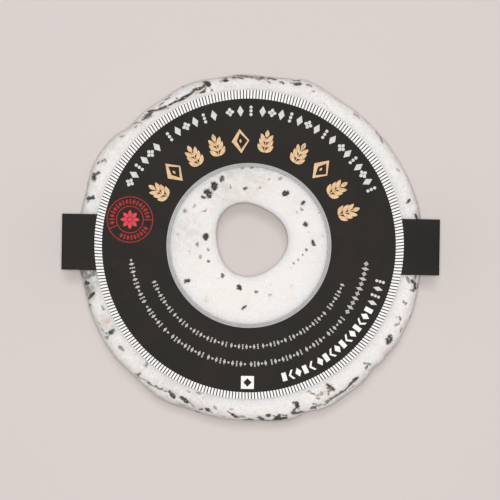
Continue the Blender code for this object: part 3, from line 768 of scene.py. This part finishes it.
def make_ring():
    across = [LABEL_OUTER + (LABEL_INNER - LABEL_OUTER) * n / RING_BANDS for n in range(RING_BANDS + 1)]
    under = [(x, CARD_BOTTOM) for x in across]
    over = [(x, CARD_TOP) for x in reversed(across)]
    ring = profile("card", under + over, closed=True)
    turn = ring.modifiers.new("turn", "SCREW")
    turn.steps = turn.render_steps = CARD_STEPS
    turn.use_merge_vertices = True
    turn.merge_threshold = 0.000001
    apply_modifiers(ring)
    return ring


def strap_line(side):
    """The strap's middle line: from under the ring, out over the rim and down."""
    level = CARD_BOTTOM + CARD / 2
    reach = STRAP_REACH - side * LABEL_CENTRE.x
    radius = STRAP_FOLD_RADIUS - CARD / 2
    bend = Vector((reach - STRAP_FOLD_RADIUS, level - radius))
    line = [Vector((LABEL_OUTER - STRAP_ROOT, level)), Vector((LABEL_OUTER + STRAP_ROOT, level))]
    for step in range(FOLD_STEPS + 1):
        line.append(bend + radius * unit(90 - (90 - STRAP_LEAN) * step / FOLD_STEPS))
    drop = line[-1].y - STRAP_CLEARANCE
    line.append(line[-1] - Vector((math.tan(math.radians(STRAP_LEAN)) * drop, drop)))
    return [(side * point.x, point.y) for point in line]


def make_strap(side):
    strap = profile(f"strap_{side}", strap_line(side))
    draw_out = strap.modifiers.new("width", "SCREW")
    draw_out.axis = "Y"
    draw_out.angle = 0.0
    draw_out.screw_offset = STRAP_WIDTH * MM
    draw_out.steps = draw_out.render_steps = STRAP_STEPS
    thicken = strap.modifiers.new("card", "SOLIDIFY")
    thicken.thickness = CARD * MM
    thicken.offset = 0.0
    thicken.use_even_offset = True
    apply_modifiers(strap)
    strap.data.transform(Matrix.Translation((0, -STRAP_WIDTH / 2 * MM, 0)))
    shape = bmesh.new()
    shape.from_mesh(strap.data)
    bmesh.ops.recalc_face_normals(shape, faces=shape.faces)
    shape.to_mesh(strap.data)
    shape.free()
    return strap


def is_cut_edge(face):
    """Whether a face of the card, before it is placed, shows the card's grey inside."""
    if face.center.to_2d().length < (LABEL_OUTER + 0.01) * MM:
        return abs(face.normal.z) < 0.6
    end = face.center.z < (STRAP_CLEARANCE + 0.3) * MM and face.normal.z < -0.6
    return abs(face.normal.y) > 0.6 or end


def make_card():
    card = make_ring()
    for side in (-1, 1):
        strap = make_strap(side)
        union = card.modifiers.new("strap", "BOOLEAN")
        union.operation = "UNION"
        union.object = strap
        apply_modifiers(card)
        bpy.data.objects.remove(strap, do_unlink=True)
    soften = card.modifiers.new("edges", "BEVEL")
    soften.width = CARD_EDGE * MM
    soften.segments = 2
    soften.limit_method = "ANGLE"
    soften.angle_limit = math.radians(50)
    apply_modifiers(card)
    for vertex in card.data.vertices:
        x, y = vertex.co.x / MM, vertex.co.y / MM
        inside = 1 - smooth_step(LABEL_INNER + 1, LABEL_OUTER - 2, math.hypot(x, y))
        vertex.co += Vector((*(PRINT_SHIFT * inside), card_warp(x, y))) * MM
    for face in card.data.polygons:
        face.material_index = 1 if is_cut_edge(face) else 0
    card.data.transform(LABEL_PLACE)
    card.data.shade_smooth()
    card.data.set_sharp_from_angle(angle=math.radians(35))
    return card


# Ink: thin layers on the card, drawn with the label's middle at 0, 0. A row of ornaments is given by
# its distance from the middle, their height and pitch, and spans of clock angles.

INK, INK_SINKS = 0.03, 0.01
MIDDLE = Vector((0, 0))
TICKS, TICK_SHARE = 300, 0.66
TICK_INNER, TICK_OUTER = 39.85, 41.93
SILVER_OUTER, SILVER_INNER = 22.35, 21.42
SILVER_LINE, SILVER_LINE_WIDTH, SILVER_STEPS = 21.85, 0.14, 240
GOLD_RADIUS, GOLD_HEIGHT = 28.4, 6.6
GOLD_CLOCKS = (-60, -46.5, -32.5, -19, -5.5, 8.5, 28, 42.5, 56.5, 70.5)
SPRIG_PAIRS, STEM_WIDTH, STEM_SHARE = 3, 0.26, 0.8
LEAF_WIDTH, LEAF_BOW, LEAF_REACH, LEAF_SHORTENING = 1.15, 0.16, 2.1, 0.25
DIAMOND_WIDTH, DIAMOND_THICK, DIAMOND_THIN, DIAMOND_HEART = 2.4, 1.1, 0.36, (0.7, 1.2)
UPPER_ROW = (36.5, 3.0, 2.45, ((-63, -44), (-37, -16), (-9, 0), (5, 37.5), (42.5, 64.5)))
INNER_SPANS = ((112, 127), (131, 155), (158, 171), (174, 189), (192, 214), (217, 226), (229, 248))
OUTER_SPANS = ((127, 137), (140, 150), (153, 168), (171, 178), (181, 199), (202, 219), (222, 224))
OUTER_SPANS += ((227, 238), (241, 262))
INNER_ROW = (27.5, 1.5, 1.02, INNER_SPANS)
OUTER_ROW = (32.2, 1.6, 1.1, OUTER_SPANS)
BOLD_ROW = (36.9, 2.55, 2.0, ((117.5, 147.5), (151.5, 164)))
BOLD_CLOCK, BOLD_REACH = 141, 17  # the row's middle, and how far it goes from there
FIGURE_ROW = (36.9, 2.8, 1.75, ((104.5, 114),))
FLOURISH_ROW = (32.2, 2.2, 1.35, ((98, 108), (110.5, 123)))
SQUARE_CLOCK, SQUARE_RADIUS, SQUARE_SIDE = 179.7, 37.15, 3.5
SQUARE_GAP = 2.3  # a lozenge left open in its middle
SEAL_CLOCK, SEAL_RADIUS = 281.4, 33.0
SEAL_OUTER, SEAL_INNER, SEAL_LINE = 6.3, 3.75, 0.26
SEAL_ARCS = ((-101, 80, 17), (118, 208, 9))  # from clock angle to clock angle, and marks between
SEAL_BAR, SEAL_LOZENGE = (0.42, 1.4), (0.95, 1.6)
SEAL_RUNGS = (90, 245)
SEAL_HEART, SEAL_DOT = 3.1, 0.55
PETALS, PETAL_FOOT, PETAL_TIP, PETAL_WIDTH = 8, 0.6, 2.55, 1.05


class Ink:
    """A layer of one colour of ink, built from flat outlines that hug the card."""

    def __init__(self, name, thickness=INK):
        self.name = name
        self.thickness = thickness
        self.shape = bmesh.new()

    def outline(self, points):
        """A closed outline, given counter-clockwise from above."""
        shifted = [Vector(point) + PRINT_SHIFT for point in points]
        top = [self.shape.verts.new(on_card(p, self.thickness)) for p in shifted]
        low = [self.shape.verts.new(on_card(p, -INK_SINKS)) for p in shifted]
        self.shape.faces.new(top)
        self.shape.faces.new(list(reversed(low)))
        for n in range(len(points)):
            after = (n + 1) % len(points)
            self.shape.faces.new((top[n], low[n], low[after], top[after]))

    def band(self, centre, inner, outer, steps=72):
        """A ring round a centre."""
        for step in range(steps):
            a, b = direction(360 * step / steps), direction(360 * (step + 1) / steps)
            self.outline([centre + p for p in (a * inner, b * inner, b * outer, a * outer)])

    def finish(self):
        bmesh.ops.remove_doubles(self.shape, verts=self.shape.verts, dist=1e-7)
        inner_walls = [
            face for face in self.shape.faces if all(len(edge.link_faces) > 2 for edge in face.edges)
        ]
        bmesh.ops.delete(self.shape, geom=inner_walls, context="FACES_ONLY")
        bmesh.ops.recalc_face_normals(self.shape, faces=self.shape.faces)
        return object_of(self.name, self.shape)


# Outlines of the ornaments, upright and with their middle at 0, 0


def leaf(start, end, width, bow=0.0, steps=8):
    """The outline of a leaf from its foot to its tip, bowed sideways."""
    start, end = Vector(start), Vector(end)
    along = end - start
    side = Vector((along.y, -along.x)).normalized()
    right, left = [], []
    for step in range(steps + 1):
        t = step / steps
        middle = start + along * t + side * bow * math.sin(math.pi * t)
        half = width / 2 * math.sin(math.pi * (0.04 + 0.92 * t)) ** 0.9
        right.append(middle + side * half)
        left.append(middle - side * half)
    return right + list(reversed(left))


def disc(radius, steps=14):
    return [radius * unit(360 * n / steps) for n in range(steps)]


def lozenge(width, height):
    return [(width / 2, 0), (0, height / 2), (-width / 2, 0), (0, -height / 2)]


def bar(width, height):
    w, h = width / 2, height / 2
    return [(-w, -h), (w, -h), (w, h), (-w, h)]


def stand(points, clock, radius):
    """Moves an upright outline to a place round the label, its top pointing outwards."""
    up, across = direction(clock), direction(clock + 90)
    return [up * (radius + Vector(p).y) + across * Vector(p).x for p in points]


def sprig():
    """A gold sprig: pairs of leaves up a stem, and a leaf at its tip."""
    h = GOLD_HEIGHT / 2
    parts = [bar(STEM_WIDTH, GOLD_HEIGHT * STEM_SHARE), leaf((0, h * 0.35), (0, h), LEAF_WIDTH)]
    for row in range(SPRIG_PAIRS):
        foot = -h * 0.85 + row * h * 1.3 / SPRIG_PAIRS
        reach, tip = LEAF_REACH - LEAF_SHORTENING * row, foot + h * 0.62
        parts.append(leaf((0.12, foot), (reach, tip), LEAF_WIDTH, LEAF_BOW))
        parts.append(leaf((-reach, tip), (-0.12, foot), LEAF_WIDTH, LEAF_BOW))
    return parts


def diamond():
    """A gold lozenge ring, thick on two sides, round a small lozenge."""
    h, w, thick, thin = GOLD_HEIGHT / 2, DIAMOND_WIDTH, DIAMOND_THICK, DIAMOND_THIN
    up, down = h - (thick + thin) * 0.75, (thick + thin) * 0.75 - h
    outer = [(w, 0), (0, h), (-w, 0), (0, -h)]
    inner = [(w - thin * 1.25, 0), (0, up), (thick * 1.25 - w, 0), (0, down)]
    sides = [[outer[n], outer[n - 3], inner[n - 3], inner[n]] for n in range(4)]
    return [*sides, lozenge(*DIAMOND_HEART)]


def kite(height, pitch):
    return [lozenge(pitch * 0.72, height)]


def fat_kite(height, pitch):
    return [lozenge(pitch * 0.86, height)]


def flower(height, pitch):
    """Four petals round a middle."""
    reach = min(height, pitch * 0.95) / 2
    petal = leaf((0, reach * 0.12), (0, reach), reach * 0.8)
    return [[Matrix.Rotation(math.radians(90 * n), 2) @ p for p in petal] for n in range(4)]


def bead(height, pitch):
    return [disc(height * 0.2, 8)]


def beads(height, pitch):
    """Three beads, one over another."""
    radius = min(height * 0.15, pitch * 0.24)
    return [[(p.x, p.y + height * up) for p in disc(radius, 8)] for up in (-0.33, 0, 0.33)]


def block(height, pitch):
    return [bar(pitch * 0.62, height * 0.9)]


def chevron(height, pitch):
    w, h = pitch * 0.38, height / 2
    return [
        [(-w, -h), (-w * 0.2, -h), (w, 0), (w * 0.2, 0)],
        [(w * 0.2, 0), (w, 0), (-w * 0.2, h), (-w, h)],
    ]


def row_clocks(radius, pitch, spans):
    """Even clock angles through each of a row's spans."""
    for start, end in spans:
        count = max(2, round(math.radians(end - start) * radius / pitch) + 1)
        for n in range(count):
            yield start + (end - start) * n / (count - 1)


def print_row(ink, row, shapes):
    """Small ornaments in a row, one shape after another."""
    radius, height, pitch, spans = row
    for n, clock in enumerate(row_clocks(radius, pitch, spans)):
        for part in shapes[n % len(shapes)](height, pitch):
            ink.outline(stand(part, clock, radius))


def make_white_ink():
    ink = Ink("ink_white")
    half = 180 / TICKS * TICK_SHARE
    for n in range(TICKS):
        clock = 360 * n / TICKS
        left, right = direction(clock - half), direction(clock + half)
        foot = [left * TICK_INNER, right * TICK_INNER]
        ink.outline(foot + [right * TICK_OUTER - PRINT_SHIFT, left * TICK_OUTER - PRINT_SHIFT])
    print_row(ink, UPPER_ROW, (flower, kite, beads, kite))
    print_row(ink, BOLD_ROW, (block, fat_kite, chevron))
    print_row(ink, FIGURE_ROW, (beads, kite))
    square = direction(SQUARE_CLOCK) * SQUARE_RADIUS
    side, gap = SQUARE_SIDE / 2, SQUARE_GAP / 2
    corner = [Vector(p) for p in ((gap, 0), (side, 0), (side, side), (0, side), (0, gap))]
    for quarter in range(4):
        turn = Matrix.Rotation(math.radians(90 * quarter), 2)
        ink.outline([square + turn @ p for p in corner])
    return ink.finish()


def make_pale_ink():
    ink = Ink("ink_pale")
    print_row(ink, INNER_ROW, (kite, bead, kite, beads))
    print_row(ink, OUTER_ROW, (beads, kite, bead, kite))
    print_row(ink, FLOURISH_ROW, (flower, kite))
    return ink.finish()


def make_gold_ink():
    ink = Ink("ink_gold")
    for n, clock in enumerate(GOLD_CLOCKS):
        for part in diamond() if n % 3 == 1 else sprig():
            ink.outline(stand(part, clock, GOLD_RADIUS))
    return ink.finish()


def make_silver_ink():
    ink = Ink("ink_silver")
    ink.band(MIDDLE, SILVER_INNER, SILVER_OUTER, SILVER_STEPS)
    return ink.finish()


def make_dark_ink():
    ink = Ink("ink_dark", INK * 2)
    ink.band(MIDDLE, SILVER_LINE, SILVER_LINE + SILVER_LINE_WIDTH, SILVER_STEPS)
    return ink.finish()


def make_red_ink():
    ink = Ink("ink_red")
    middle = direction(SEAL_CLOCK) * SEAL_RADIUS
    for outer in (SEAL_OUTER, SEAL_INNER):
        ink.band(middle, outer - SEAL_LINE, outer)
    between = (SEAL_OUTER + SEAL_INNER) / 2 - SEAL_LINE / 2
    marks = []
    for start, end, count in SEAL_ARCS:
        for n in range(count):
            shape = bar(*SEAL_BAR) if n % 2 else lozenge(*SEAL_LOZENGE)
            marks.append(stand(shape, start + (end - start) * n / (count - 1), between))
    rung = bar(SEAL_LINE, SEAL_OUTER - SEAL_INNER - SEAL_LINE * 1.2)
    marks += [stand(rung, clock, between) for clock in SEAL_RUNGS]
    petal = leaf((0, PETAL_FOOT), (0, PETAL_TIP), PETAL_WIDTH)
    marks += [stand(petal, 360 * n / PETALS, 0) for n in range(PETALS)]
    for mark in (*marks, disc(SEAL_DOT)):
        ink.outline([middle + p for p in mark])
    return ink.finish()


# Materials

WHITE, CREAM = (0.89, 0.86, 0.835), (0.85, 0.80, 0.76)
RIM_DUST, RIM_WHITE = (0.68, 0.65, 0.63), (0.98, 0.915, 0.885)
RIM_FROM, RIM_TO = 41, 43  # from the wheel's top middle
# grey for dust, specks and painted shade; the deeper grey is the left strap's painted shadow
GREY_DUST_AND_SHADE, PAINTED_STRAP_SHADOW = (0.47, 0.45, 0.43), (0.22, 0.20, 0.19)
ASH_BLACK, ASH_GREY = (0.045, 0.043, 0.038), (0.40, 0.375, 0.34)
BROWN_STAIN = (0.52, 0.40, 0.29)
CHARCOAL, CHARCOAL_GREY = (0.035, 0.034, 0.030), (0.11, 0.105, 0.095)
CHARCOAL_BLOOM = (0.45, 0.43, 0.40)
CARD_BLACK, CARD_LIGHTER = (0.018, 0.0155, 0.0135), (0.028, 0.024, 0.021)
CORE_GREY, CORE_LIGHTER = (0.52, 0.50, 0.47), (0.62, 0.60, 0.57)
# painted shade: the right strap lies in shade, so the card's black is made deeper there
SHADED_STRAP_PLACE = (0.0475, 0.0, 0.019)  # in metres: the right strap, where the card's black is deeper
STRAP_SHADE_BLACK = (0.014, 0.013, 0.012)
STRAP_SHADE_FROM, STRAP_SHADE_TO = 11, 5
BRIGHT_INK = ((0.80, 0.77, 0.75), (0.86, 0.84, 0.82))  # two tones of each ink, in patches
DULL_INK = ((0.54, 0.52, 0.50), (0.62, 0.60, 0.58))
PALE_INK = ((0.40, 0.38, 0.355), (0.48, 0.455, 0.43))
GOLD_INK = ((0.58, 0.345, 0.17), (0.77, 0.54, 0.325))
SILVER_INK = ((0.33, 0.315, 0.315), (0.39, 0.375, 0.375))
DARK_INK = ((0.24, 0.23, 0.23), (0.28, 0.27, 0.27))
RING_INK = ((0.37, 0.03, 0.035), (0.27, 0.02, 0.024))
HEART_INK = ((0.70, 0.065, 0.085), (0.58, 0.05, 0.07))
FLOOR_TONES = ((0.635, 0.58, 0.56), (0.65, 0.595, 0.575))


class Field:
    """A number that varies over a surface: its sums and products become Math nodes."""

    def __init__(self, tree, socket):
        self.tree = tree
        self.socket = socket

    def math(self, operation, a, b):
        node = self.tree.nodes.new("ShaderNodeMath")
        node.operation = operation
        for socket, value in zip(node.inputs, (a, b)):
            settle(self.tree, socket, value)
        return Field(self.tree, node.outputs["Value"])

    def __add__(self, other):
        return self.math("ADD", self, other)

    def __sub__(self, other):
        return self.math("SUBTRACT", self, other)

    def __rsub__(self, other):
        return self.math("SUBTRACT", other, self)

    def __mul__(self, other):
        return self.math("MULTIPLY", self, other)

    def ramp(self, low, high, interpolation="SMOOTHSTEP"):
        """Rises from 0 to 1 as the number goes from low to high."""
        node = self.tree.nodes.new("ShaderNodeMapRange")
        node.interpolation_type = interpolation
        node.inputs["From Min"].default_value = low
        node.inputs["From Max"].default_value = high
        settle(self.tree, node.inputs["Value"], self)
        return Field(self.tree, node.outputs["Result"])


def settle(tree, socket, value):
    """Links a field to a socket, or sets a plain value on it."""
    if isinstance(value, Field):
        tree.links.new(value.socket, socket)
    else:
        socket.default_value = value


class Look:
    """A material and short ways to build its nodes."""

    def __init__(self, name, roughness, specular):
        self.material = bpy.data.materials.new(name)
        self.material.use_nodes = True
        self.tree = self.material.node_tree
        self.inputs = self.tree.nodes["Principled BSDF"].inputs
        self.inputs["Roughness"].default_value = roughness
        self.inputs["Specular IOR Level"].default_value = specular
        self.place = self.tree.nodes.new("ShaderNodeTexCoord").outputs["Object"]

    def textured(self, kind, size):
        """A texture node with features of about that many millimetres."""
        node = self.tree.nodes.new(kind)
        node.inputs["Scale"].default_value = 1 / (size * MM)
        self.tree.links.new(self.place, node.inputs["Vector"])
        return node

    def noise(self, size, detail=3.0, roughness=0.55):
        node = self.textured("ShaderNodeTexNoise", size)
        node.inputs["Detail"].default_value = detail
        node.inputs["Roughness"].default_value = roughness
        return Field(self.tree, node.outputs["Fac"])

    def cells(self, size):
        """The distance from the middles of scattered cells, and a number for each cell."""
        node = self.textured("ShaderNodeTexVoronoi", size)
        return Field(self.tree, node.outputs["Distance"]), Field(self.tree, node.outputs["Color"])

    def away_from(self, point):
        """The distance from a point given in metres, in millimetres."""
        node = self.tree.nodes.new("ShaderNodeVectorMath")
        node.operation = "DISTANCE"
        self.tree.links.new(self.place, node.inputs[0])
        node.inputs[1].default_value = point
        return Field(self.tree, node.outputs["Value"]) * (1 / MM)

    def attribute(self, name):
        node = self.tree.nodes.new("ShaderNodeAttribute")
        node.attribute_name = name
        return Field(self.tree, node.outputs["Fac"])

    def mix(self, share, a, b):
        """From one colour, at a share of 0, to another, at 1."""
        node = self.tree.nodes.new("ShaderNodeMix")
        node.data_type = "RGBA"
        settle(self.tree, node.inputs[0], share)
        for socket, colour in ((node.inputs[6], a), (node.inputs[7], b)):
            settle(self.tree, socket, colour if isinstance(colour, Field) else (*colour, 1))
        return Field(self.tree, node.outputs[2])

    def bump(self, height, depth, strength=0.4):
        node = self.tree.nodes.new("ShaderNodeBump")
        node.inputs["Distance"].default_value = depth * MM
        node.inputs["Strength"].default_value = strength
        settle(self.tree, node.inputs["Height"], height)
        self.tree.links.new(node.outputs["Normal"], self.inputs["Normal"])

    def finish(self, colour):
        """The material, with its colour from a field."""
        settle(self.tree, self.inputs["Base Color"], colour)
        return self.material


def rind_bloom(look):
    """The white bloom: creamy in patches, and on the rim dusty and bright by turns."""
    base = look.mix(look.noise(5, 4).ramp(0.35, 0.7) * 0.35, WHITE, CREAM)
    fluff = look.noise(0.45, 4, 0.65).ramp(0.3, 0.7, "LINEAR")
    rim = look.away_from(to_world(Vector((0, 0, HEIGHT)))).ramp(RIM_FROM, RIM_TO)
    base = look.mix(fluff * (rim * 0.34 + 0.28), base, RIM_DUST)
    return look.mix((1.0 - fluff) * (rim * 0.8), base, RIM_WHITE)


def rind_dirt_and_shade(look, base):
    """Grey on the steep sides, partly dust and partly painted shade; greyer places, partly grey mould
    and partly painted shade, deepest as the left strap's painted shadow; browner places; and rare
    small specks.
    """
    clouds = look.noise(2.2, 4, 0.6).ramp(0.35, 0.65)
    # steep sides greyed: grey dust and painted shade
    base = look.mix(look.attribute("side") * (clouds * 0.45 + 0.15), base, GREY_DUST_AND_SHADE)
    # greyer patches: partly grey mould and partly painted shade
    patches = look.attribute("grey_and_shade")
    grey_and_shade = patches * look.noise(1.4, 3).ramp(0.2, 0.75) + patches.ramp(0.5, 2.6) * 0.75
    base = look.mix(grey_and_shade, base, GREY_DUST_AND_SHADE)
    # the deepest grey: the left strap's painted shadow on the rim
    base = look.mix(grey_and_shade.ramp(0.7, 1.5) * 0.75, base, PAINTED_STRAP_SHADOW)
    base = look.mix(look.attribute("stain") * look.noise(0.9, 3).ramp(0.25, 0.7), base, BROWN_STAIN)
    distance, number = look.cells(1.7)
    specks = distance.ramp(0.16, 0.05) * number.ramp(0.62, 0.7)
    return look.mix(specks * 0.45, base, GREY_DUST_AND_SHADE)


def rind_ash(look, base):
    """Ash in the creases: a ragged black core with a grey halo."""
    ash, tone = look.attribute("ash"), look.attribute("tone")
    ragged, wavy = look.noise(0.6, 3, 0.6) - 0.5, look.noise(1.8, 2) - 0.5
    strength = ash + ragged * 1.4 + wavy * 0.7 + (tone - 0.6) * 0.35
    near = ash.ramp(0.02, 0.3)
    base = look.mix(strength.ramp(0.1, 0.65) * near * tone * 0.75, base, ASH_GREY)
    return look.mix(strength.ramp(0.44, 0.72) * near * tone, base, ASH_BLACK)


def rind_look():
    look = Look("bloomy_rind", 0.85, 0.2)
    look.inputs["Subsurface Weight"].default_value = 0.8
    look.inputs["Subsurface Radius"].default_value = (1.0, 0.8, 0.65)
    look.inputs["Subsurface Scale"].default_value = 0.004
    look.bump(look.noise(0.35, 5, 0.7) + look.noise(1.3, 3) * 1.6, 0.22, 1.0)
    return look.finish(rind_ash(look, rind_dirt_and_shade(look, rind_bloom(look))))


def ash_look():
    look = Look("charcoal", 0.9, 0.2)
    grain = look.noise(0.3, 4, 0.65).ramp(0.3, 0.7)
    bloom = look.noise(0.7, 3, 0.6).ramp(0.5, 0.66)
    base = look.mix(grain * 0.8, CHARCOAL, CHARCOAL_GREY)
    look.bump(look.noise(0.25, 4, 0.7), 0.08, 0.9)
    return look.finish(look.mix(bloom * 0.75, base, CHARCOAL_BLOOM))


def card_look(name, colour, lighter):
    look = Look(name, 0.9, 0.25)
    fibres = look.noise(0.35, 4, 0.6)
    share = fibres.ramp(0.3, 0.75) * 0.55 + look.noise(7, 3).ramp(0.35, 0.7) * 0.25
    # painted shade: the card's black darkens towards the right strap
    near = look.away_from(SHADED_STRAP_PLACE).ramp(STRAP_SHADE_FROM, STRAP_SHADE_TO)
    look.bump(fibres, 0.015)
    return look.finish(look.mix(near * 0.6, look.mix(share, colour, lighter), STRAP_SHADE_BLACK))


def ink_look(name, tones, specular=0.3):
    look = Look(name, 0.5, specular)
    share = look.noise(1.2, 3).ramp(0.35, 0.65) * 0.7 + look.noise(0.3, 2) * 0.35
    look.bump(look.noise(0.25, 3), 0.008)
    return look.finish(look.mix(share, *tones))


def printed_at(clock, radius):
    """The place, in metres, of what is printed round the label."""
    return on_card(direction(clock) * radius + PRINT_SHIFT)


def white_look():
    """White ticks, square and bold ornaments, and a duller white for the thin ones."""
    look = Look("white_ink", 0.5, 0.3)
    ticks = look.away_from(printed_at(0, 0)).ramp(TICK_INNER - 1, TICK_INNER)
    square = look.away_from(printed_at(SQUARE_CLOCK, SQUARE_RADIUS)).ramp(SQUARE_SIDE, SQUARE_SIDE * 0.8)
    bold = look.away_from(printed_at(BOLD_CLOCK, BOLD_ROW[0])).ramp(BOLD_REACH, BOLD_REACH - 1)
    patches = look.noise(1.2, 3).ramp(0.35, 0.65)
    dull, white = look.mix(patches, *DULL_INK), look.mix(patches, *BRIGHT_INK)
    look.bump(look.noise(0.25, 3), 0.008)
    return look.finish(look.mix(ticks + (square + bold), dull, white))


def seal_look():
    """Duller red for the seal's rings and marks, brighter red for the flower in its middle."""
    look = Look("red_ink", 0.6, 0.08)
    heart = look.away_from(printed_at(SEAL_CLOCK, SEAL_RADIUS)).ramp(SEAL_HEART, SEAL_HEART - 0.3)
    worn = look.noise(0.5, 3).ramp(0.35, 0.65) * 0.6
    look.bump(look.noise(0.25, 3), 0.008)
    return look.finish(look.mix(heart, look.mix(worn, *RING_INK), look.mix(worn, *HEART_INK)))


def floor_look():
    look = Look("floor", 0.9, 0.1)
    return look.finish(look.mix(look.noise(400, 2), *FLOOR_TONES))


# Putting it together


def dress(piece, looks):
    piece.data.materials.clear()
    for look in looks:
        piece.data.materials.append(look)
    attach(piece, "root")
    return piece


def make_cheese():
    rind = dress(make_rind(), [rind_look()])
    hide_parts("cheese_wheel")
    dress(make_chips(), [ash_look()])


def make_label():
    black = card_look("black_card", CARD_BLACK, CARD_LIGHTER)
    core = card_look("card_core", CORE_GREY, CORE_LIGHTER)
    card = dress(make_card(), [black, core])
    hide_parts("label")
    inks = (
        (make_pale_ink(), ink_look("pale_ink", PALE_INK)),
        (make_gold_ink(), ink_look("gold_ink", GOLD_INK, 0.12)),
        (make_silver_ink(), ink_look("silver_ink", SILVER_INK)),
        (make_dark_ink(), ink_look("dark_ink", DARK_INK)),
        (make_white_ink(), white_look()),
        (make_red_ink(), seal_look()),
    )
    for piece, look in inks:
        dress(piece, [look])


def make_floor():
    shape = bmesh.new()
    bmesh.ops.create_grid(shape, x_segments=1, y_segments=1, size=FLOOR_SIZE)
    floor = object_of("floor", shape)
    floor.data.materials.append(floor_look())


def area_light(name, location, size, power):
    data = bpy.data.lights.new(name, "AREA")
    data.shape = "DISK"
    data.size = size
    data.energy = power
    light = new_object(name, data)
    light.location = location
    to_cheese = Vector((0, 0, HEIGHT * MM)) - location
    light.rotation_euler = to_cheese.to_track_quat("-Z", "Y").to_euler()


def make_lights():
    area_light("key", *KEY)
    area_light("sky", *SKY)
    world = bpy.data.worlds.new("studio")
    world.use_nodes = True
    background = world.node_tree.nodes["Background"]
    background.inputs["Color"].default_value = ROOM_COLOUR
    background.inputs["Strength"].default_value = ROOM_STRENGTH
    bpy.context.scene.world = world


def make_camera():
    data = bpy.data.cameras.new("camera")
    data.sensor_width = SENSOR
    data.angle = 2 * math.atan(FRAME_WIDTH / 2 / CAMERA_DISTANCE)
    camera = new_object("camera", data)
    camera.location = to_world(Vector((*FRAME_MIDDLE, CARD_TOP + CAMERA_DISTANCE)))
    bpy.context.scene.camera = camera


make_cheese()
make_label()
make_floor()
make_lights()
make_camera()
bpy.context.scene.view_settings.view_transform = "Standard"
